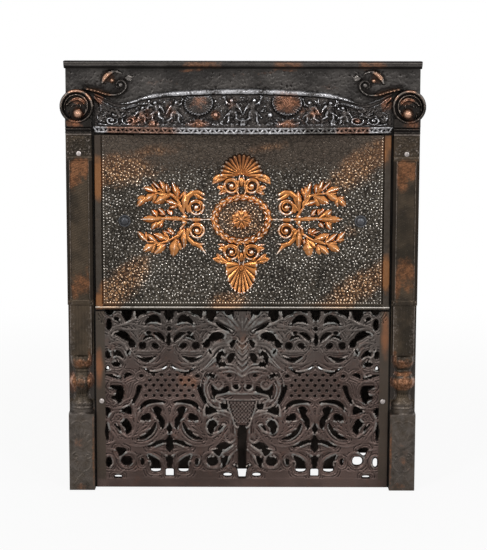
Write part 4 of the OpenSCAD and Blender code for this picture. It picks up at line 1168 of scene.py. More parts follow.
def slotted_heads(name, node, body, reach, seat, up):
    """Two screws, reach to the left and right of the middle, with their heads on seat."""
    head = Pattern(name)
    radius = head.size("Head radius", 0.0045)
    height = head.size("Head height", 0.0029)
    slot = head.size("Slot width", 0.0015)
    out = head.size("Distance from the middle", reach / 1000)
    grid = head.add("GeometryNodeMeshGrid", {}, {"Size X": 1.0, "Size Y": 1.0, "Vertices X": 33,
                                                 "Vertices Y": 27})
    across, up_grid = head.split(head.place(), "XY")
    turn = across * (2 * math.pi)
    v = up_grid + 0.5
    inner = head.maths("MINIMUM", head.maths("DIVIDE", v, 0.7), 1.0)
    outer = head.maths("MINIMUM", head.maths("DIVIDE", 1.0 - v, 0.12), 1.0)
    share = inner * outer
    x = share * radius * head.maths("COSINE", turn)
    z = share * radius * head.maths("SINE", turn)
    cut = head.maths("LESS_THAN", head.maths("ABSOLUTE", z), slot * 0.5)
    dome = 0.5 + head.maths("SQRT", 1.0 - share * share) * 0.5 - cut * 0.5
    rise = dome * height * head.maths("LESS_THAN", v, 0.8)
    shaped = head.moved(grid, head.point(x, rise * -1.0, z))
    closed = head.add("GeometryNodeMergeByDistance", {}, {"Geometry": shaped,
                                                          "Distance": 0.00001})
    line = head.line(2, head.point(out * -1.0, seat / 1000, up / 1000),
                     head.point(out, seat / 1000, up / 1000))
    lean = 0.5 + head.index() * 1.3
    heads = head.copies(line, closed, Rotation=head.point(0.0, lean))
    piece = head.made(name, heads, screw_steel)
    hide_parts(node)
    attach(piece, body)


screw_steel = plain_iron("screw_steel", rgb(0.24, 0.215, 0.205), rgb(0.52, 0.47, 0.45),
                         rgb(0.12, 0.07, 0.04), rgb(0.7, 0.66, 0.64), 0.28)
slotted_heads("pilaster_screw_heads", "pilaster_screws", "frame", pilaster_middle, -21, 602)


# ---- Upper panel ----
# A flat cast plate hung behind the hood, with copper sponged on its corners. It has a raised
# strip down each side, a rolled and reeded lower edge, lines of beads, and a pebbled ground
# with small raised dashes all over.

panel_flashes = [(-0.218, 0.572, 0.066, 0.028, 4, 1.25), (-0.158, 0.605, 0.055, 0.012, 10, 0.7),
                 (0.042, 0.612, 0.036, 0.011, 10, 0.65), (0.206, 0.582, 0.078, 0.026, 40, 1.15),
                 (-0.212, 0.370, 0.066, 0.027, 48, 1.25), (0.203, 0.364, 0.074, 0.024, 34, 1.25),
                 (-0.026, 0.338, 0.034, 0.018, 8, 1.2), (-0.002, 0.486, 0.056, 0.046, 0, 0.95),
                 (0.190, 0.468, 0.016, 0.012, 0, 0.6), (-0.254, 0.553, 0.012, 0.034, 0, 1.35),
                 (0.254, 0.390, 0.011, 0.030, 0, 1.3), (-0.252, 0.342, 0.014, 0.016, 0, 1.1),
                 (0.150, 0.334, 0.034, 0.008, 0, 0.6)]


def panel_finish(name, ground, pale, gloss, crest, sponge):
    """Iron with a pebbled ground inside its border: each pebble has a painted highlight on its
    top and painted shade in the cracks round it. crest is the height above the panel's face where
    the painted highlight, which also stands for wear, starts and where it is full, in metres,
    and its strength."""
    iron = Finish(name)
    x, y, z = iron.split(iron.at, "XYZ")
    broad = iron.cloud(12.0, 5.0, 0.6)
    patch = iron.cloud(60.0, 6.0, 0.65)
    fleck = iron.cloud(190.0, 3.0, 0.7)
    grain = iron.cloud(700.0, 2.0)
    cell = iron.add("ShaderNodeTexVoronoi", {"feature": "DISTANCE_TO_EDGE"},
                    {"Vector": iron.at, "Scale": 165.0}, "Distance")
    flash = 0.0
    for px, pz, rx, rz, turn, strength in panel_flashes:
        c, s = cos_sin(turn)
        along = (x - px) * (c / rx) + (z - pz) * (s / rx)
        across = (z - pz) * (c / rz) - (x - px) * (s / rz)
        near = 1.35 - iron.maths("SQRT", along * along + across * across)
        flash = iron.maths("MAXIMUM", flash, near * strength)
    high = (-0.0113 - y).clear_of(crest[0], crest[1]) * crest[2]
    sponged = (0.75 * flash + 1.2 * (patch - 0.5)).clear_of(0.05, 0.80)
    top = (z + 0.05 * (broad - 0.5)).clear_of(0.553, 0.592)
    fade = 1.0 - 0.88 * top * (1.0 - 0.75 * sponged)
    inside = (0.0588 - x * x).clear_of(0.0, 0.0006) * z.clear_of(0.3355, 0.3375)
    # Painted shade in the cracks between the painted pebbles; the bump also sinks them.
    gap = (1.0 - cell.clear_of(0.03, 0.17)) * inside * (1.0 - 0.35 * top)
    colour = iron.mix(broad.clear_of(0.36, 0.66), ground, pale)
    colour = iron.mix(top * 0.65, colour, rgb(0.092, 0.069, 0.054))
    border = (x * x).clear_of(0.0605, 0.0615)
    colour = iron.mix(border * (0.25 + 0.5 * broad), colour, rgb(0.046, 0.034, 0.027))
    colour = iron.mix(sponged * (sponge + 0.5 * border), colour,
                      iron.mix(border, rgb(0.150, 0.072, 0.036), rgb(0.24, 0.105, 0.042)))
    # Painted highlight on the top of each painted pebble.
    crown_highlight = cell.clear_of(0.14, 0.34) * inside * fade
    colour = iron.mix(crown_highlight * (0.14 + sponged * 0.56), colour,
                      iron.mix(sponged, rgb(0.27, 0.24, 0.20), rgb(0.55, 0.31, 0.15)))
    colour = iron.mix(gap * 0.78, colour, rgb(0.010, 0.008, 0.006))
    # Painted highlight on the raised crests, partly wear.
    crest_highlight_colour = iron.mix(sponged, rgb(0.53, 0.49, 0.44), rgb(0.84, 0.60, 0.41))
    shown = high * fade * (fleck.clear_of(0.30, 0.70) + broad.clear_of(0.40, 0.62) * 0.35)
    colour = iron.mix(shown, colour, crest_highlight_colour)
    return iron.done(Base_Color=colour, Metallic=0.85, Roughness=gloss + 0.22 * (patch - 0.5),
                     Normal=iron.bump(grain + 0.7 * patch - 2.0 * gap, 0.4, 0.0006))


panel_iron = panel_finish("panel_iron", rgb(0.042, 0.035, 0.027), rgb(0.082, 0.069, 0.053), 0.34,
                          (0.0014, 0.0028, 2.2), 0.75)
dash_iron = panel_finish("dash_iron", rgb(0.044, 0.038, 0.031), rgb(0.086, 0.075, 0.062), 0.22,
                         (0.0002, 0.0013, 1.0), 0.7)
bead_iron = panel_finish("bead_iron", rgb(0.050, 0.046, 0.040), rgb(0.12, 0.112, 0.10), 0.24,
                         (0.0, 0.0012, 2.0), 0.6)

strip_steps = [259.5, 259.2, 258.6, 258.0, 255.0, 252.0, 249.5, 248.6, 248.0, 247.6, 247.2,
               246.2, 245.2, 244.2, 243.2]
panel_x = [-v for v in strip_steps] + list(np.linspace(-240, 240, 61)) + strip_steps[::-1]
panel_z = list(even(325.5, 335.5, 0.4)) + list(even(338, 632, 6.0)) + [632.8, 633.2, 633.5]
plate = Relief(panel_x, panel_z, Relief.solid)
away = np.abs(plate.X)
plate.height = 1.5 * np.clip((away - 247.4) / 1.2, 0, 1) ** 0.5
plate.height -= 1.2 * np.clip((away - 258.3) / 1.2, 0, 1) ** 2
plate.height = np.maximum(plate.height, 1.1 * bulge(away, 246.2, 1.0))
for low, high, out in ((325.3, 327.3, 1.0), (327.5, 331.3, 3.2), (331.8, 333.2, 1.0),
                       (333.5, 335.0, 0.9)):
    roll = out * bulge(plate.Z, (low + high) / 2, (high - low) / 2)
    plate.height = np.maximum(plate.height, roll)
panel_plate = casting("panel_plate", plate, plane(-11.3), plane(-6.3), panel_iron)
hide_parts("upper_panel")
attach(panel_plate, "panel")


def stippled_ground():
    """Small dashes that lie every way, lower toward the panel's top."""
    ground = Pattern("stippled_ground")
    wide = ground.size("Width of the field", 0.480)
    tall = ground.size("Height of the field", 0.290)
    middle = ground.size("Middle height", 0.486)
    front = ground.size("Face", -0.0113)
    apart = ground.size("Least distance apart", 0.0045)
    upright = (math.pi / 2, 0, 0)
    sheet = ground.add("GeometryNodeMeshGrid", {}, {"Size X": wide, "Size Y": tall,
                                                    "Vertices X": 2, "Vertices Y": 2})
    field = ground.add("GeometryNodeTransform", {}, {
        "Geometry": sheet, "Rotation": upright, "Translation": ground.point(0.0, front, middle)})
    places = ground.add("GeometryNodeDistributePointsOnFaces", {"distribute_method": "POISSON"},
                        {"Mesh": field, "Distance Min": apart, "Density Max": 90000.0,
                         "Seed": 11})
    ball = ground.add("GeometryNodeMeshUVSphere", {}, {"Segments": 6, "Rings": 4, "Radius": 1.0})
    dash = ground.add("GeometryNodeTransform", {}, {"Geometry": ball, "Rotation": upright})
    lean, long, high = (ground.add("FunctionNodeRandomValue", {"data_type": "FLOAT"},
                                   {2: least, 3: most, "Seed": seed}, 1)
                        for least, most, seed in ((-1.5, 1.5, 13), (0.0021, 0.0031, 14),
                                                  (0.0015, 0.0020, 15)))
    z = ground.split(ground.place(), "Z")[0]
    fade = ground.add("ShaderNodeMapRange", {}, {0: z, 1: 0.560, 2: 0.600, 3: 1.0, 4: 0.55})
    dashes = ground.copies(places, dash, Rotation=ground.point(0.0, lean),
                           Scale=ground.point(long, fade * 0.0017, fade * high))
    return ground.made("panel_dashes", dashes, dash_iron, 180)


def bead_lines():
    """Beads up both sides of the field and along its foot."""
    beads = Pattern("bead_lines")
    size = beads.size("Bead radius", 0.0016)
    pitch = beads.size("Pitch", 0.0049)
    side = beads.size("Distance of the upright lines", 0.2436)
    low = beads.size("Lower end", 0.3375)
    high = beads.size("Upper end", 0.629)
    front = beads.size("Face", -0.0115)
    left = side * -1.0
    rows = []
    for x0, x1, z0, z1 in ((left, left, low, high), (side, side, low, high),
                           (left, side, low, low)):
        count = beads.maths("FLOOR", beads.maths("DIVIDE", (x1 - x0) + (z1 - z0), pitch))
        rows.append(beads.line(count, beads.point(x0, front, z0), beads.point(x1, front, z1)))
    bead = beads.add("GeometryNodeMeshIcoSphere", {}, {"Radius": size, "Subdivisions": 2})
    return beads.made("panel_beads", beads.copies(beads.joined(rows), bead), bead_iron)


for piece in (stippled_ground(), bead_lines()):
    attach(piece, "panel")


# ---- Panel ornament ----
# A bright copper relief laid on the panel: a laurel wreath round a rosette, a shell above and
# one hanging below, ringed scrolls between them, and a spray of leaves out to each side.

orn_x, orn_z = -2.0, 486.0
ornament_step = 0.72
rosette = (orn_x, orn_z)
upper_shell, lower_shell = (orn_x, orn_z + 78), (orn_x, orn_z - 80)
spray_stems = [
    ([(108, 29), (121, 42), (134, 45), (148, 46), (166, 39)], [6, 5, 3.5]),
    ([(94, 0), (112, 1), (144, 2)], [5.5, 8, 6]),
    ([(107, -26), (121, -34), (130, -39), (147, -43), (166, -39)], [6, 5, 3.5]),
    ([(93, 14), (97, 27), (94, 40), (85, 47), (76, 48), (67, 44)], [7, 10, 10, 7]),
    ([(80, 43), (72, 38), (64, 35)], [8, 8, 4]),
    ([(94, -18), (95, -32), (84, -43), (73, -45), (65, -43)], [7, 9, 8, 3]),
    ([(80, -43), (71, -50), (62, -62)], [8, 7, 2]),
    ([(97, 5), (108, 20), (108, 29)], [5, 6]),
    ([(97, -5), (106, -16), (107, -26)], [5, 6]),
    ([(112, -1), (119, -2), (118, -10)], [3, 2]),
    ([(92, 0), (80, -1)], [4, 9]), ([(80, -1), (64, 0)], [9, 2]), ([(66, 0), (51, 0)], [3, 5])]
spray_leaves = [
    ((112, 36), (121, 64), 8, 1), ((110, 34), (111, 58), 6.5, -1.5), ((134, 46), (142, 67), 8, 1),
    ((129, 47), (131, 62), 7, -1), ((139, 50), (156, 67), 5, 0), ((147, 47), (171, 55), 8, 1),
    ((149, 45), (170, 32), 9, 1), ((166, 39), (182, 23), 8, 1), ((169, 40), (182, 29), 5, 1),
    ((127, 41), (151, 29), 11, 1), ((110, 25), (134, 33), 7.5, 1), ((148, 5), (157, 16), 6.5, 0),
    ((134, 8), (145, 19), 6, 0), ((122, 8), (130, 17), 5.5, 0), ((148, -4), (157, -17), 7.5, 0),
    ((138, -5), (144, -15), 5.5, 0), ((134, 1), (174, 0), 10, 0), ((120, -26), (138, -20), 4.5, 0),
    ((118, -25), (130, -17), 6, 0), ((127, -36), (153, -26), 9, -1),
    ((148, -40), (166, -26), 7.5, -1), ((166, -38), (181, -22), 7, -1),
    ((151, -44), (171, -56), 9.5, 1), ((134, -45), (152, -61), 9.5, 1),
    ((115, -35), (120, -64), 12, 0), ((111, -35), (110, -45), 5, 0), ((101, 14), (99, 49), 9.5, 0),
    ((101, -17), (101, -49), 10, 0)]
shell_leaves = [
    ((27, 74), (50, 70), 10), ((34, 75), (51, 62), 7), ((30, 54), (43, 56), 7),
    ((26, 50), (40, 44), 6), ((26, -76), (50, -70), 9), ((32, -76), (44, -61), 7),
    ((28, -54), (40, -52), 7), ((24, -50), (42, -44), 5)]


def placed(side, points):
    return [(orn_x + side * x, orn_z + z) for x, z in points]


ornament = Relief(even(-189, 187, ornament_step), even(343, 603, ornament_step))
for side in (-1, 1):
    for points, widths in spray_stems:
        ornament.stroke(placed(side, points), widths, [3.6], round_top)
    for k, (a, b, w, bow) in enumerate(spray_leaves):
        a, b = placed(side, [a, b])
        b = (1.07 * b[0] - 0.07 * a[0], 1.07 * b[1] - 0.07 * a[1])
        ornament.leaf(a, b, w * 1.5 + 1.4, side * bow, [4.4, 6.4, 3.0], ridge_top)
        c, s = cos_sin(36)
        s *= (-1) ** k
        x, z = b[0] - a[0], b[1] - a[1]
        under = (a[0] + 0.68 * (x * c - z * s), a[1] + 0.68 * (x * s + z * c))
        ornament.leaf(a, under, w * 1.2 + 0.6, 0, [3.4, 4.8, 2.2], ridge_top)
    for x, z, r in ((79, 21, 12.6), (78, -20, 12.6), (17.5, 59, 12.4), (17.5, -58, 13.0)):
        ornament.stroke(placed(side, coil((x, z), r, r - 1, 0, 360, 30)), [5.4], [4.0], round_top)
        ornament.stroke(placed(side, coil((x, z), r - 1, 4, 0, 330, 30)), [4.6, 3.4], [3.6],
                        round_top)
        ornament.boss(placed(side, [(x, z)])[0], 5.2, 5.2, 5.4)
        ornament.boss(placed(side, [(x, z)])[0], 12, 12, 0.9, power=0.2)
    for x, z, r in ((101, 4.5, 4.4), (101, -4.5, 4.4), (0.0, 66, 3.4)):
        ornament.boss(placed(side, [(x, z)])[0], r, r, 5.2)
    for a, b, w in shell_leaves:
        a, b = placed(side, [a, b])
        points, widths = blade(a, b, w, side * 1.0)
        ornament.stroke(points, [v * 1.5 for v in widths], [3.4, 4.8, 2.4], leaf_top)
    for stem in ([(3, 78), (5, 66), (9, 52), (4, 42)], [(3, -80), (5, -68), (9, -52), (4, -42)]):
        ornament.stroke(placed(side, stem), [3, 4, 6, 3], [4.0], round_top)
ornament.boss((orn_x, orn_z + 66), 4.5, 9, 4.4)
ornament.boss((orn_x, orn_z - 67), 4.5, 9, 4.4)
shell(ornament, upper_shell, 38, 37, 26, 6.2, -12, 192)
shell(ornament, lower_shell, 29, 53, 22, 6.2, 168, 372)
for k in range(13):
    ornament.boss(on_oval(lower_shell, 27.5, 50.5, 200 + 140 * k / 12), 2.4, 2.4, 6.8)
for k in range(22):
    for row in (-1, 1):
        start = k * 360 / 22 + 6 * row
        tip = on_oval(rosette, 47.5 + row * 4.4, 39.5 + row * 4.4, start + 19)
        ornament.leaf(on_oval(rosette, 48, 40, start), tip, 9.5, -row * 0.6, [4.4, 6.0, 2.8],
                      ridge_top)
ornament.stroke([on_oval(rosette, 48, 40, 6 * k) for k in range(61)], [7.4], [3.6], round_top)
for k in range(8):
    points, widths = blade(rosette, on_oval(rosette, 17, 17, 45 * k + 22.5), 11, 0)
    ornament.stroke(points, [w + 2 for w in widths], [4.2, 4.8, 3.4], leaf_top)
    ornament.leaf(rosette, on_oval(rosette, 20, 20, 45 * k), 6, 0, [2.6, 3.0, 2.0], ridge_top)
ornament.boss(rosette, 5, 5, 6.2)


def copper_finish():
    copper = Finish("copper_plate")
    ridge, hollow = copper.layer("ridge"), copper.layer("hollow")
    broad = copper.cloud(16.0, 4.0, 0.6)
    patch = copper.cloud(90.0, 5.0, 0.65)
    grain = copper.cloud(700.0, 2.0)
    speck = copper.cloud(260.0, 3.0, 0.7)
    aged = copper.layer("flash")
    colour = copper.mix(broad.clear_of(0.35, 0.65), rgb(0.46, 0.175, 0.050),
                        rgb(0.66, 0.285, 0.100))
    colour = copper.mix(aged * 0.7, colour, rgb(0.27, 0.100, 0.040))
    tarnish = patch.clear_of(0.52, 0.74) * 0.7
    colour = copper.mix(tarnish, colour, rgb(0.10, 0.038, 0.016))
    # Painted highlights: shine and glint lighten the crests and random specks toward pale copper
    # and near-white.
    shine = (0.85 * ridge + 1.2 * (speck - 0.56)).clear_of(0.28, 1.0)
    colour = copper.mix(shine * (0.9 - 0.5 * aged), colour, rgb(1.0, 0.66, 0.41))
    glint = (ridge + 1.6 * (speck - 0.5)).clear_of(0.52, 1.05)
    colour = copper.mix(glint * (1.0 - 0.85 * aged), colour, rgb(1.0, 0.90, 0.80))
    # Painted shade, partly grime: the hollows are darkened toward near-black.
    dirt_and_shade = (hollow + 0.5 * (patch - 0.5)).clear_of(0.0, 0.42)
    colour = copper.mix(dirt_and_shade * 0.95, colour, rgb(0.014, 0.009, 0.007))
    return copper.done(Base_Color=colour, Metallic=0.92,
                       Roughness=0.25 + 0.25 * dirt_and_shade + 0.15 * (patch - 0.5),
                       Normal=copper.bump(grain + 0.5 * patch, 0.3, 0.0005))


copper_plate = copper_finish()
ornament_layers = carved(ornament, 2.8, 1.9, [(orn_x, orn_z + 109, 48, 21, 0, 1.2),
                                              (orn_x, orn_z, 22, 22, 0, 0.6)])
# The top shell is darker toward its upper rim, through the hollow layer.
from_hinge = np.hypot(ornament.X - upper_shell[0], ornament.Z - upper_shell[1])
shell_rim_darkening = 0.24 * np.clip((from_hinge - 22) / 13, 0, 1) * (ornament.Z > orn_z + 84)
ornament_layers["hollow"] = (np.maximum(ornament_layers["hollow"][0], shell_rim_darkening), 1.0)
ornament.height = np.maximum(ornament.height, 0.2)
ornament_piece = casting("panel_relief", ornament, plane(-11.5), plane(-10.9), copper_plate,
                         ornament_layers)
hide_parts("panel_ornament")
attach(ornament_piece, "panel")


# ---- Panel knobs ----
# Two domed iron knobs, one at each side of the ornament, each with a rim and a raised boss.
# A shank with a square nut holds each in the panel.

def turned(name, outline, middles, material, around=40):
    """Knobs turned about the y axis from one outline of radius and place."""
    spots, faces = [], []
    rings = len(outline) - 2
    for x, z in middles:
        first = len(spots)
        for k in range(around):
            c, s = cos_sin(360 * k / around)
            spots += [(x + r * c, y, z + r * s) for r, y in outline[1:-1]]
        front = len(spots)
        spots += [(x, outline[0][1], z), (x, outline[-1][1], z)]
        for k in range(around):
            a, b = first + k * rings, first + (k + 1) % around * rings
            faces += [(a + i, a + i + 1, b + i + 1, b + i) for i in range(rings - 1)]
            faces += [(front, a, b), (front + 1, b + rings - 1, a + rings - 1)]
    mesh = bpy.data.meshes.new(name)
    mesh.from_pydata((np.array(spots) / 1000).tolist(), [], faces)
    return stand(name, mesh, material, 35)


knob_outline = [(0, -18.9), (2.2, -18.8), (4.4, -18.2), (6.2, -17.2), (7.5, -15.8), (8.2, -14.5),
                (8.4, -13.8), (8.8, -13.3), (9.5, -13.5), (10.3, -13.3), (10.7, -12.7),
                (10.8, -12.0), (10.8, -10.9), (0, -10.9)]
knob_iron = plain_iron("knob_iron", rgb(0.052, 0.054, 0.060), rgb(0.098, 0.101, 0.110),
                       rgb(0.070, 0.052, 0.044), rgb(0.26, 0.26, 0.27), 0.24)
knob_piece = turned("panel_knob_domes", knob_outline, [(-207, 483), (207, 483)], knob_iron)
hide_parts("panel_knobs")
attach(knob_piece, "panel")


# ---- Lower grille ----
# A pierced casting that stands in front of the fire: twin scrolls of acanthus on each side of a
# fluted shield, plaques with dotted lattice, and a keyhole slot. Its copper has gone mauve-brown.

motif_ridges = [
    ([(102, 318), (96, 323), (88, 324), (81, 320), (79, 313)], 4),
    ([(99, 312), (96, 317), (90, 319), (85, 316)], 3),
    ([(96, 293), (79, 301), (62, 309), (51, 317), (40, 323), (25, 324), (16, 319), (14, 313)], 5),
    ([(57, 311), (49, 319), (44, 322)], 3), ([(56, 308), (45, 315), (35, 318)], 3),
    ([(62, 313), (61, 323)], 5), ([(102, 287), (91, 293), (74, 291), (57, 290), (49, 293)], 4),
    ([(101, 293), (91, 297), (79, 300), (67, 301), (52, 297)], 4),
    ([(100, 295), (106, 282), (104, 273), (98, 271), (93, 272)], 4),
    ([(93, 278), (99, 275), (101, 280), (97, 286), (90, 287)], 4), ([(69, 286), (60, 276)], 4),
    ([(60, 287), (56, 278), (53, 271)], 4), ([(47, 288), (38, 280)], 4),
    ([(49, 297), (34, 295), (22, 293), (13, 288), (5, 281)], 5),
    ([(47, 301), (31, 303), (17, 301), (4, 294)], 4), ([(45, 271), (34, 276), (29, 275)], 3),
    ([(39, 261), (37, 267), (29, 272), (20, 267), (16, 260)], 4),
    ([(25, 279), (19, 272), (11, 267)], 5), ([(7, 269), (3, 275)], 4),
    ([(58, 251), (19, 251)], 6), ([(58, 247), (19, 247)], 2), ([(74, 251), (64, 237)], 4),
    ([(70, 256), (62, 245), (58, 239)], 3), ([(60, 237), (47, 225)], 3),
    ([(107, 256), (103, 265), (93, 267), (82, 264), (74, 254), (67, 243), (64, 231),
      (63, 219)], 5), ([(93, 258), (83, 256), (76, 245), (75, 236), (80, 228)], 4),
    ([(100, 231), (99, 239), (92, 242), (86, 236)], 4),
    ([(99, 208), (91, 204), (86, 210), (83, 217)], 5),
    ([(58, 244), (45, 237), (34, 235), (23, 240)], 4),
    ([(52, 231), (35, 228), (18, 230), (3, 236)], 5),
    ([(34, 215), (29, 215), (20, 217), (11, 219), (2, 224)], 5),
    ([(15, 240), (9, 250), (3, 257)], 4), ([(18, 245), (11, 253), (4, 261)], 3),
    ([(107, 149), (100, 146), (87, 148), (74, 152), (66, 162)], 4),
    ([(89, 154), (80, 160), (68, 166)], 4),
    ([(81, 139), (87, 142), (98, 141), (107, 133), (109, 121), (106, 108), (98, 96), (88, 84),
      (76, 72)], 5),
    ([(97, 104), (85, 87), (75, 81), (63, 77), (51, 77), (43, 79), (30, 84), (15, 100),
      (9, 111)], 4),
    ([(100, 126), (97, 133), (89, 136), (83, 132), (83, 125), (89, 122), (94, 124), (95, 129)], 4),
    ([(95, 119), (91, 108), (86, 101), (77, 94), (67, 94), (56, 98)], 4),
    ([(91, 119), (83, 115), (80, 105)], 4),
    ([(66, 158), (64, 150), (61, 135), (61, 111), (67, 100)], 5), ([(58, 128), (52, 144)], 5),
    ([(57, 115), (50, 123), (47, 125)], 4), ([(54, 111), (47, 121), (42, 124)], 4),
    ([(56, 104), (44, 114), (40, 115)], 4), ([(56, 100), (42, 107), (34, 110)], 5),
    ([(54, 96), (43, 101)], 4),
    ([(47, 137), (40, 150), (29, 156), (18, 156), (10, 152), (4, 137), (3, 121), (8, 110)], 6),
    ([(31, 146), (25, 139)], 4), ([(32, 137), (27, 129), (18, 123)], 4),
    ([(40, 122), (29, 125)], 4),
    ([(13, 123), (16, 108), (27, 94), (40, 84), (54, 83), (67, 86)], 4),
    ([(21, 122), (25, 108), (34, 96), (45, 88), (56, 87)], 3),
    ([(2, 104), (11, 94), (25, 88)], 5),
    ([(59, 66), (45, 65), (34, 63), (21, 56), (13, 47), (10, 39)], 5),
    ([(34, 68), (20, 68), (6, 60), (1, 50)], 5), ([(30, 72), (17, 80), (7, 82)], 5),
    ([(22, 72), (6, 70)], 4), ([(53, 53), (49, 61), (41, 61), (38, 54)], 4),
    ([(43, 44), (39, 49), (33, 48), (35, 41)], 4),
    ([(72, 39), (62, 49), (61, 59), (67, 65), (77, 65), (86, 60), (90, 50), (87, 40),
      (77, 35)], 5)]
fine_ridges = [
    ([(12, 252), (24, 238), (40, 229), (58, 234), (72, 250)], 4),
    ([(6, 247), (18, 231), (38, 222), (60, 227), (78, 243)], 4),
    ([(0, 238), (8, 228), (24, 218)], 4), ([(102, 262), (93, 246), (80, 232), (66, 220)], 5),
    ([(107, 250), (98, 236), (86, 223), (72, 213)], 4), ([(92, 236), (84, 222), (80, 210)], 3),
    ([(60, 262), (56, 250), (46, 246)], 3), ([(0, 322), (6, 300), (18, 290)], 4),
    ([(60, 300), (46, 294), (30, 296)], 3), ([(96, 200), (104, 196), (108, 186)], 4),
    ([(50, 150), (60, 142), (66, 128)], 4), ([(58, 112), (66, 98), (80, 88)], 4),
    ([(0, 100), (14, 96), (28, 86)], 3), ([(54, 34), (62, 30), (74, 30)], 4),
    ([(86, 28), (98, 32), (106, 30)], 4)]
outer_ridges = [
    ([(112, 322), (103, 317)], 4), ([(100, 310), (93, 306), (87, 308)], 4),
    ([(108, 258), (106, 250), (100, 254)], 4), ([(111, 216), (101, 218)], 4),
    ([(107, 191), (104, 196), (86, 196), (81, 191)], 4), ([(109, 184), (97, 184), (93, 182)], 4),
    ([(106, 173), (97, 173)], 5), ([(100, 162), (95, 158), (98, 153), (103, 154), (104, 159)], 4),
    ([(109, 82), (103, 83), (98, 86)], 5),
    ([(112, 59), (106, 60), (102, 52), (101, 45), (107, 37)], 4), ([(110, 72), (99, 70)], 5),
    ([(99, 28), (90, 27), (82, 32)], 4)]
inner_ridges = [
    ([(63, 318), (67, 324), (75, 324)], 4), ([(70, 313), (81, 312), (93, 309), (106, 303)], 5),
    ([(95, 324), (104, 323), (111, 315)], 4), ([(57, 296), (66, 297)], 6),
    ([(55, 290), (66, 291)], 4), ([(70, 288), (86, 287), (97, 284), (104, 278), (106, 272)], 5),
    ([(64, 267), (61, 275), (70, 282)], 4), ([(100, 278), (109, 278), (110, 272), (102, 268)], 5),
    ([(55, 232), (68, 244), (78, 259), (92, 266), (106, 267)], 5),
    ([(45, 226), (57, 232), (70, 243)], 3), ([(73, 238), (78, 247)], 4),
    ([(95, 236), (97, 249), (104, 256), (112, 254)], 5), ([(70, 219), (79, 221)], 9),
    ([(80, 216), (91, 221), (104, 221), (114, 212)], 4),
    ([(75, 197), (80, 189), (88, 184), (96, 190), (93, 197)], 5),
    ([(84, 208), (95, 207), (104, 198), (108, 194)], 5),
    ([(111, 198), (110, 187), (118, 180), (126, 187)], 4),
    ([(83, 169), (90, 175), (103, 176), (129, 175)], 6), ([(122, 223), (129, 214)], 4),
    ([(123, 215), (131, 205)], 4),
    ([(89, 160), (94, 162), (98, 157), (95, 152), (90, 153), (88, 157)], 4),
    ([(68, 130), (76, 139), (89, 142), (97, 137)], 5),
    ([(77, 126), (81, 133), (89, 133), (90, 126), (84, 121)], 4),
    ([(73, 126), (65, 115), (69, 104), (81, 101), (92, 106), (97, 117)], 5),
    ([(105, 133), (112, 128), (120, 122)], 5), ([(106, 115), (107, 102)], 5),
    ([(99, 88), (109, 84), (117, 87)], 4), ([(110, 96), (110, 96)], 11),
    ([(86, 72), (102, 70), (117, 81)], 5), ([(96, 63), (109, 68), (119, 77)], 4),
    ([(70, 55), (76, 64), (79, 59), (73, 55)], 4),
    ([(72, 70), (82, 72), (94, 63), (97, 52), (92, 40), (80, 36), (66, 39), (62, 49)], 5),
    ([(76, 50), (80, 51), (81, 46)], 4), ([(37, 62), (45, 64), (53, 59), (54, 51), (49, 43)], 4),
    ([(115, 43), (122, 40)], 4)]
centre_ridges = [
    ([(0, 289), (0, 305), (0, 322)], 5), ([(2, 299), (7, 310), (10, 322)], 4),
    ([(4, 290), (13, 304), (26, 317), (34, 322)], 7),
    ([(6, 289), (18, 299), (26, 309), (38, 312)], 6),
    ([(8, 288), (25, 300), (42, 309), (57, 314)], 6),
    ([(18, 288), (39, 297), (52, 301), (64, 304)], 6),
    ([(22, 282), (36, 289), (49, 285), (62, 276), (72, 267)], 6),
    ([(26, 266), (33, 276), (44, 281)], 3), ([(0, 248), (5, 254), (11, 263)], 4),
    ([(0, 237), (7, 244), (13, 253)], 4), ([(0, 227), (7, 232), (13, 241)], 4),
    ([(0, 217), (8, 221), (15, 231)], 4),
    ([(23, 263), (41, 260), (52, 250), (62, 234), (71, 226)], 6),
    ([(36, 255), (46, 244), (54, 231)], 4), ([(2, 212), (15, 226), (28, 228), (41, 226)], 4),
    ([(3, 206), (13, 219), (28, 222), (44, 218), (54, 210)], 5),
    ([(3, 199), (9, 211), (23, 215), (39, 212), (52, 202)], 5),
    ([(43, 198), (35, 196), (34, 188), (42, 182), (50, 188), (50, 198)], 4),
    ([(4, 202), (6, 188), (12, 180), (19, 184), (18, 195), (14, 204)], 5),
    ([(54, 210), (62, 199), (65, 188), (60, 164)], 6), ([(48, 168), (24, 176), (0, 174.5)], 6),
    ([(48, 160), (42, 166), (32, 163), (31, 153), (38, 148), (43, 154)], 4),
    ([(62, 134), (49, 142), (29, 141), (16, 133), (9, 122)], 5),
    ([(60, 129), (47, 138), (31, 135), (18, 127), (10, 119)], 4),
    ([(53, 123), (47, 129), (40, 126)], 5),
    ([(31, 100), (29, 90), (21, 84), (13, 90), (17, 98), (23, 98)], 5),
    ([(13, 80), (23, 73), (34, 65), (40, 59)], 6), ([(10, 71), (18, 63), (25, 52), (29, 44)], 6),
    ([(36, 100), (33, 112), (25, 118)], 4), ([(14, 116), (13, 104), (12, 92)], 4)]
scroll_flutes = [
    [(66, 214), (73, 198), (74, 179), (68, 161), (56, 146), (42, 142)],
    [(60, 211), (67, 195), (67.5, 179), (62, 163), (52, 152), (41, 148)],
    [(55, 197), (61, 187), (61.5, 176), (57, 165), (48, 157)],
    [(30, 250), (42, 247), (54, 236), (66, 222), (80, 212)],
    [(34, 242), (45, 238), (56, 228), (68, 216)]]
centre_leaves = [[(0, z), (6, z + 5), (12, z + 14)] for z in range(205, 266, 10)]
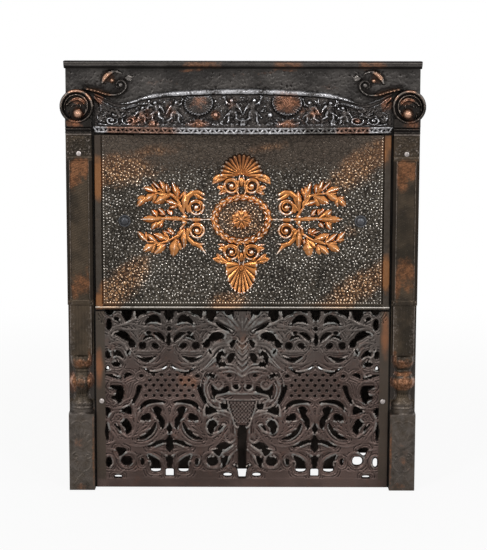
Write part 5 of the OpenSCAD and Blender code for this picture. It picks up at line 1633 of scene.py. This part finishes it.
shield_rims = [([(0, 174), (30, 174.5), (46, 174), (51, 168), (45, 161), (38, 158)], 5),
               ([(0, 163), (20, 163), (38, 164)], 3.6),
               ([(25.5, 160), (23, 146), (17, 128), (12, 114), (0, 110)], 4)]


def crescent(a, c, b, w):
    """The outline of a curved sliver, w wide in its middle."""
    line = bend(a, c, b)
    run = np.gradient(line, axis=0)
    side = np.stack([-run[:, 1], run[:, 0]], axis=1) / np.linalg.norm(run, axis=1)[:, None]
    half = (w * np.sin(np.linspace(0, math.pi, len(line))) + 0.3)[:, None] / 2
    return np.concatenate([line + side * half, (line - side * half)[::-1]])


def oval(centre, rx, rz, turn=0.0, n=16):
    """The outline of an oval hole."""
    t = np.linspace(0, 2 * math.pi, n, endpoint=False)
    c, s = cos_sin(turn)
    x, z = rx * np.cos(t), rz * np.sin(t)
    return np.stack([centre[0] + x * c - z * s, centre[1] + x * s + z * c], axis=1)


motif_gaps = [
    [(0, 309), (6, 313), (8, 321), (10, 340), (0, 340)],
    [(16, 321), (18, 340), (21, 340), (25, 324), (20, 322)],
    [(39, 322), (51, 317), (57, 311), (59, 319), (60, 340), (36, 340)],
    [(66, 319), (69, 310), (76, 306), (79, 310), (83, 319), (86, 340), (64, 340)],
    [(99, 321), (106, 317), (113, 323), (115, 340), (96, 340)],
    crescent((44, 299), (24, 322), (16, 302), 11), crescent((98, 283), (78, 286), (68, 266), 12),
    [(60, 264), (67, 274), (72, 270), (70, 260), (63, 259)],
    [(43, 257), (52, 257), (52, 266), (43, 266)], crescent((45, 272), (39, 282), (29, 277), 4),
    oval((25, 261), 6, 4, 25), crescent((28, 284), (16, 284), (8, 269), 6),
    crescent((56, 242), (40, 230), (25, 242), 5), crescent((97, 242), (96, 254), (82, 240), 9),
    oval((94, 228), 7.5, 4.5), crescent((80, 202), (77, 211), (67, 208), 6),
    oval((50, 206), 3, 2.2), crescent((45, 221), (34, 208), (18, 215), 3.4),
    crescent((15, 218), (8, 219), (4, 225), 3), oval((36, 285), 3.2, 2),
    oval((73, 251), 2.4, 5, 30),
    [(50, 187), (56.5, 187), (60, 172), (67, 159), (64, 156), (55, 171)],
    crescent((53, 144), (46, 164), (8, 158), 6.5), [(86, 142), (72, 152), (68, 136), (79, 139)],
    [(86, 118), (77, 127), (69, 114), (70, 104), (77, 100), (79, 110)],
    crescent((98, 117), (91, 113), (88, 104), 3), [(49, 132), (37, 137), (35, 127), (49, 125)],
    [(29, 146), (22, 150), (14, 144), (17, 136), (10, 125), (11, 112), (15, 112), (19, 124),
     (24, 134)],
    crescent((25, 120), (30, 96), (58, 90), 7), crescent((38, 76), (22, 84), (4, 87), 5),
    [(94, 74), (78, 70), (88, 59), (93, 66)],
    [(86, 50), (82, 57), (71, 57), (68, 50), (71, 43), (82, 43)], oval((49, 48), 2.6, 5.5),
    [(38, 60), (30, 57), (21, 51), (17, 42), (17, 31), (33, 31), (33, 47)]]
outer_gaps = [
    oval((107, 300), 4.5, 10), crescent((97, 307), (94, 314), (88, 304), 5),
    oval((108.5, 245), 4, 7), [(112, 218), (107, 218), (109.5, 225)],
    crescent((112, 208), (100, 206), (86, 202), 3.5),
    [(103, 188), (87, 188), (82, 181), (83, 167), (90, 156), (95, 163), (103, 166), (97, 171),
     (94, 180), (102, 184)],
    [(113, 147), (106, 143), (111, 133)], crescent((111, 118), (113, 104), (111, 88), 5),
    oval((109, 47), 4.5, 8.5), [(98, 22.5), (87, 22.5), (87, 19.5), (98, 19.5)]]
middle_gaps = [
    oval((0, 292), 3, 3), crescent((0, 284), (3, 270), (0, 262), 7), oval((0, 110), 4, 8),
    [(6, 88), (0, 98), (-6, 88), (-6, 74), (0, 66), (6, 74)],
    [(6, 59), (3, 36), (7, 34), (7, 22), (-7, 22), (-7, 34), (-3, 36), (-6, 59)]]
centre_gaps = [
    [(19, 288), (36, 299), (48, 303), (36, 292)], [(13, 271), (23, 267), (18, 259)],
    [(15, 247), (25, 243), (24, 232), (17, 235)], [(14, 340), (17, 315), (22, 340)],
    [(58, 340), (60, 317), (66, 340)], oval((23, 207), 3, 2), oval((57, 120), 3, 5),
    [(55, 187), (50, 163), (46, 172), (26, 177), (26, 187), (33, 183), (44, 179), (50, 184)],
    crescent((43, 228), (46, 244), (34, 253), 8), oval((18, 242), 4, 5, 20),
    crescent((66, 268), (48, 280), (32, 277), 10), oval((11, 186), 5, 4),
    [(29, 156), (27, 146), (36, 146), (38, 154)], [(65, 151), (55, 143), (65, 135)],
    [(45, 75), (35, 83), (19, 81), (31, 72)], [(29, 58), (36, 54), (34, 38), (28, 46), (25, 57)],
    [(20, 22), (32, 22), (32, 26.5), (20, 26.5)]]
keyhole = [(-8, 104), (-8, 110), (-5, 115), (5, 115), (8, 110), (8, 104), (7, 90), (7, 36),
           (11, 44), (13, 42), (8, 33), (6, 20), (-6, 20), (-8, 33), (-13, 42), (-11, 44), (-7, 36),
           (-7, 90)]


grille_half, grille_foot, grille_tall = 259.5, 2, 320
pattern_half, pattern_tall = 260, 322
half_middle = 130
grille_step = 1.3
grille_pebbles = 1500
rib_pitch = 4.3
stile_x, rail_top = 243, 18
plain, rail_height = 3.0, 4.4


def fitted(points):
    """Points on the traced pattern, laid on the grille."""
    return [(x * grille_half / pattern_half,
             grille_foot + (z - grille_foot) * grille_tall / pattern_tall) for x, z in points]


def on_both(points, middle=0):
    """The two places of a line that repeats on the left and the right of the grille."""
    for half in (-1, 1):
        yield fitted([(half * (middle + x), z) for x, z in points])


def on_halves(points):
    """The four places of a line that repeats about the middle of each half."""
    for half in (-1, 1):
        for side in (-1, 1):
            yield fitted([(half * (half_middle + side * x), z) for x, z in points])


def outward(points):
    """The two places of a line on the outer side of each half's middle."""
    return on_both(points, half_middle)


def inward(points):
    """The two places of a line on the inner side of each half's middle."""
    return on_both([(x - half_middle, z) for x, z in points])


def softened(outline):
    """A traced hole with its corners cast round. Ovals and slivers are smooth already."""
    return flowing(outline, True, 3) if len(outline) < 14 else outline


grille = Relief(even(-grille_half, grille_half, grille_step),
                even(grille_foot, grille_foot + grille_tall, grille_step), Relief.solid)
for outlines, places in ((motif_gaps, on_halves), (outer_gaps, outward), (centre_gaps, on_both)):
    for outline in outlines:
        for hole in places(outline):
            grille.pierce(softened(hole))
for outline in middle_gaps:
    for hole in outward(outline):
        grille.pierce(hole)
grille.pierce(fitted(keyhole))
for row in range(5):
    for k in range(-3, 4):
        x = 14 * k + 7 * (row % 2)
        if abs(x) < 46 - 1.6 * row:
            for place in outward([(x, 170 + 9.5 * row)]):
                grille.pierce(oval(place[0], 1.9, 1.7, 0, 8))

ground = 3.7 * np.sqrt(1 - (1 - np.clip(grille.metal / 6.5, 0, 1)) ** 2)
contour = np.cos(grille.metal * 2 * math.pi / rib_pitch)
grille.height = ground - 0.7 * contour * np.clip(grille.metal - 1.2, 0, 1)


def raised(strokes, places, shares, crest, floor=plain, n=3):
    """Raises each stroke at its places. shares of its width run from its start to its end."""
    for points, width in strokes:
        for line in places(points):
            grille.stroke(flowing(line, n=n), [width * share for share in shares], crest,
                          round_top, floor, False)


raised(motif_ridges, on_halves, (0.8, 1.25, 0.7), [1.4, 2.0, 1.4])
raised(fine_ridges, on_halves, (0.8, 1, 0.6), [1.5, 1.8, 1.1])
raised(outer_ridges, outward, (1, 1.2), [1.9])
raised(inner_ridges, inward, (1, 1.2), [1.9])
raised(centre_ridges, on_both, (0.8, 1.2, 0.6), [1.9, 2.3, 1.4])
raised([(line, 1) for line in scroll_flutes], on_both, (2.4, 3.4, 2.4), [2.0, 2.8, 2.0])
raised([(line, 1) for line in centre_leaves], on_both, (3.4, 3.6, 2.0), [2.4, 2.8, 1.6])
for x, z, r in ((26, 272, 5.5), (26, 251, 4.5), (42, 190, 6), (38, 148, 5), (2, 271, 2.2),
                (6, 271, 2.2), (24, 38, 7), (48, 124, 5), (10, 271, 2.2), (22, 92, 4)):
    for place in on_both([(x, z)]):
        grille.boss(place[0], r, r, 5.0, cast=False)
for _ in range(grille_pebbles):
    grille.boss((rng.uniform(-240, 240), rng.uniform(20, 318)), rng.uniform(0.9, 2.4),
                rng.uniform(0.7, 1.2), rng.uniform(3.6, 4.6), rng.uniform(0, 180), cast=False)
for x in range(20, 60, 5):
    for place in on_halves([(x, 251)]):
        grille.boss(place[0], 2.4, 2.4, 5.0, cast=False)
for row in range(5):
    for k in range(-3, 4):
        x = 14 * k + 7 * (row % 2) + 7
        if abs(x) < 44 - row:
            for place in outward([(x, 172 + 9.5 * row)]):
                grille.boss(place[0], 1.9, 1.5, 4.0, cast=False)
shield = ((np.abs(grille.X) < 23.5 - 0.3 * np.clip(150 - grille.Z, 0, 40))
          & (grille.Z > 113) & (grille.Z < 160) & (grille.metal > 1.5))
grille.height = np.where(shield, 2.9, grille.height)
raised(shield_rims, on_both, (1,), [2.0], 3.4, 4)
for k in range(-5, 12):
    for start, stop in on_both([(6.5 * k, 120), (6.5 * k - 44, 170)]):
        line = [(start[0] + (stop[0] - start[0]) * t, start[1] + (stop[1] - start[1]) * t)
                for t in np.linspace(0, 1, 14)]
        line = [(x, z) for x, z in line
                if abs(x) < 22.5 - max(0, (150 - z)) * 0.3 and 115 < z < 159]
        if len(line) > 1:
            grille.stroke(line, [2.3], [1.6], round_top, 2.8, False)
frame_rail = (grille.Z < rail_top) | ((np.abs(grille.X) > stile_x) & (grille.Z < 300))
smooth = rail_height * np.clip(grille.metal / 1.8, 0, 1) ** 0.5
grille.height = np.where(frame_rail, smooth, grille.height)


def copper_over_iron():
    brown = Finish("grille_iron")
    ridge, hollow = brown.layer("ridge"), brown.layer("hollow")
    broad = brown.cloud(9.0, 4.0, 0.55)
    patch = brown.cloud(55.0, 6.0, 0.68)
    grain = brown.cloud(650.0, 3.0)
    speck = brown.cloud(230.0, 3.0, 0.7)
    x, z = brown.split(brown.at, "XZ")
    flash = brown.layer("flash")
    low = brown.mix(broad.clear_of(0.36, 0.66), rgb(0.068, 0.046, 0.039), rgb(0.120, 0.081, 0.070))
    high = brown.mix(broad.clear_of(0.36, 0.66), rgb(0.052, 0.043, 0.038), rgb(0.094, 0.077, 0.068))
    colour = brown.mix((z + 0.3 * (broad - 0.5)).clear_of(0.17, 0.30), low, high)
    colour = brown.mix(patch.clear_of(0.5, 0.75) * 0.4, colour, rgb(0.13, 0.062, 0.043))
    stile = (x * x).clear_of(0.0588, 0.0598) * z.clear_of(0.012, 0.020)
    colour = brown.mix(stile * 0.75, colour, rgb(0.060, 0.047, 0.034))
    sponged = (flash + 0.8 * (patch - 0.5)).clear_of(0.10, 1.0)
    colour = brown.mix(sponged * 0.95, colour, rgb(0.25, 0.105, 0.050))
    # Painted highlight: crests and random specks are lightened toward a pale grey tint.
    wear_and_highlight = (ridge + 1.3 * (speck - 0.54)).clear_of(0.14, 0.85)
    tint = brown.mix(patch.clear_of(0.42, 0.60), rgb(0.34, 0.29, 0.26), rgb(0.27, 0.29, 0.28))
    colour = brown.mix(wear_and_highlight * 0.52, colour, tint)
    glint = (0.6 * ridge + 2.2 * (speck - 0.5)).clear_of(0.80, 1.05)
    colour = brown.mix(glint * 0.75, colour, rgb(0.66, 0.55, 0.44))
    # Painted shade, partly grime: the hollows are darkened toward near-black.
    dirt_and_shade = (hollow + 0.3 * (broad - 0.5)).clear_of(0.02, 0.55)
    colour = brown.mix(dirt_and_shade * 0.9, colour, rgb(0.007, 0.005, 0.0045))
    return brown.done(Base_Color=colour, Metallic=0.75,
                      Roughness=0.40 + 0.2 * (patch - 0.5) + 0.2 * dirt_and_shade,
                      Normal=brown.bump(grain + 0.7 * patch, 0.4, 0.0007))


grille_iron = copper_over_iron()
grille_layers = carved(grille, 3.2, 1.7, [(-254, 222, 8, 36, 0, 0.85), (253, 282, 9, 44, 0, 0.8),
                                          (-95, 196, 26, 18, 0, 0.45), (0, 262, 14, 20, 0, 0.4)])
flat = np.where(shield, plain, ground)
# Painted highlights: along the raised strokes, on the crests of the contour ribs and where the blur
# finds a crest.
stroke_highlight = np.clip((grille.height - flat - 0.15) / 1.6, 0, 1) ** 2.3 * (~frame_rail)
crests = np.clip(-0.6 - contour, 0, 0.4) / 0.4
crests *= (grille.metal > 1.2) & (grille.metal < 9) & ~frame_rail & ~shield
edges = 0.26 * grille_layers["ridge"][0] + 0.22 * crests
grille_layers["ridge"] = (np.maximum(stroke_highlight, edges), 0.0)
grille.height = np.minimum(grille.height, 5.2)
grille_piece = casting("pierced_grille", grille, plane(-9.0), plane(-6.3), grille_iron,
                       grille_layers)
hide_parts("lower_grille")
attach(grille_piece, "grille")


# ---- Grille screws ----
# The same slotted heads in the grille's stiles. They stay in the grille when it is drawn out.

slotted_heads("grille_screw_heads", "grille_screws", "grille", 250, -14.3, 160)


# ---- Floor, lamps and camera ----
# A plain pale floor under an even white sky, with four soft lamps. It is seen from in front and
# a little above.


def white_studio():
    studio = Finish("studio", "worlds", "Background")
    direct, glossy, through = (studio.add("ShaderNodeLightPath", {}, {}, f"Is {kind} Ray")
                               for kind in ("Camera", "Glossy", "Transmission"))
    seen = studio.maths("MAXIMUM", studio.maths("MAXIMUM", direct, glossy), through)
    return studio.done(Color=rgb(1, 1, 1), Strength=0.45 + 0.55 * seen)


bpy.context.scene.world = white_studio()


def pale_floor():
    floor = Finish("pale_floor")
    white = floor.add("ShaderNodeEmission", {}, {"Color": rgb(1, 1, 1), "Strength": 1.0})
    seen = floor.add("ShaderNodeLightPath", {}, {}, "Is Camera Ray")
    floor.fill(floor.shader, {"Base Color": rgb(0.82, 0.82, 0.82), "Roughness": 0.9})
    x, y = floor.split(floor.at, "XY")
    away = (x * x + y * y).clear_of(0.25, 4.0)
    both = floor.add("ShaderNodeMixShader", {}, {
        0: seen * (0.91 + 0.09 * away), 1: Wire(floor, floor.shader.outputs[0]), 2: white})
    floor.fill(floor.tree.nodes["Material Output"], {"Surface": both})
    return floor.material


floor_mesh = bpy.data.meshes.new("floor")
floor_mesh.from_pydata([(-9, -9, 0), (9, -9, 0), (9, 9, 0), (-9, 9, 0)], [], [(0, 1, 2, 3)])
floor_mesh.materials.append(pale_floor())
floor = bpy.data.objects.new("floor", floor_mesh)
bpy.context.collection.objects.link(floor)


def aimed(thing, place, target, roll=0.0):
    look = Vector(target) - Vector(place)
    turn = look.to_track_quat("-Z", "Y").to_matrix().to_4x4()
    thing.matrix_world = (Matrix.Translation(place) @ turn
                          @ Matrix.Rotation(math.radians(roll), 4, "Z"))


def lamp(name, place, width, power):
    light = bpy.data.lights.new(name, "AREA")
    light.shape = "SQUARE"
    light.size = width
    light.energy = power
    thing = bpy.data.objects.new(name, light)
    bpy.context.collection.objects.link(thing)
    aimed(thing, place, (0, 0, 0.38))


for name, place, width, power in (("upper_left_lamp", (-1.3, -2.2, 2.1), 0.32, 22),
                                  ("upper_right_lamp", (1.2, -2.3, 1.9), 0.30, 16),
                                  ("side_lamp", (2.4, -1.6, 0.9), 0.35, 9),
                                  ("low_lamp", (-2.0, -2.4, 0.7), 0.30, 8)):
    lamp(name, place, width, power)

view_height = math.radians(9.25)
view_away = 3.2
view_from = (0, -0.012 - view_away * math.cos(view_height),
             0.381 + view_away * math.sin(view_height))
view_at = (0.0018, -0.012, 0.3872)
view_roll = 0.135
lens = bpy.data.cameras.new("camera")
lens.sensor_fit = "HORIZONTAL"
lens.sensor_width = 36
lens.lens = 134.2
camera = bpy.data.objects.new("camera", lens)
bpy.context.collection.objects.link(camera)
aimed(camera, view_from, view_at, view_roll)
bpy.context.scene.camera = camera
bpy.context.scene.view_settings.view_transform = "Standard"
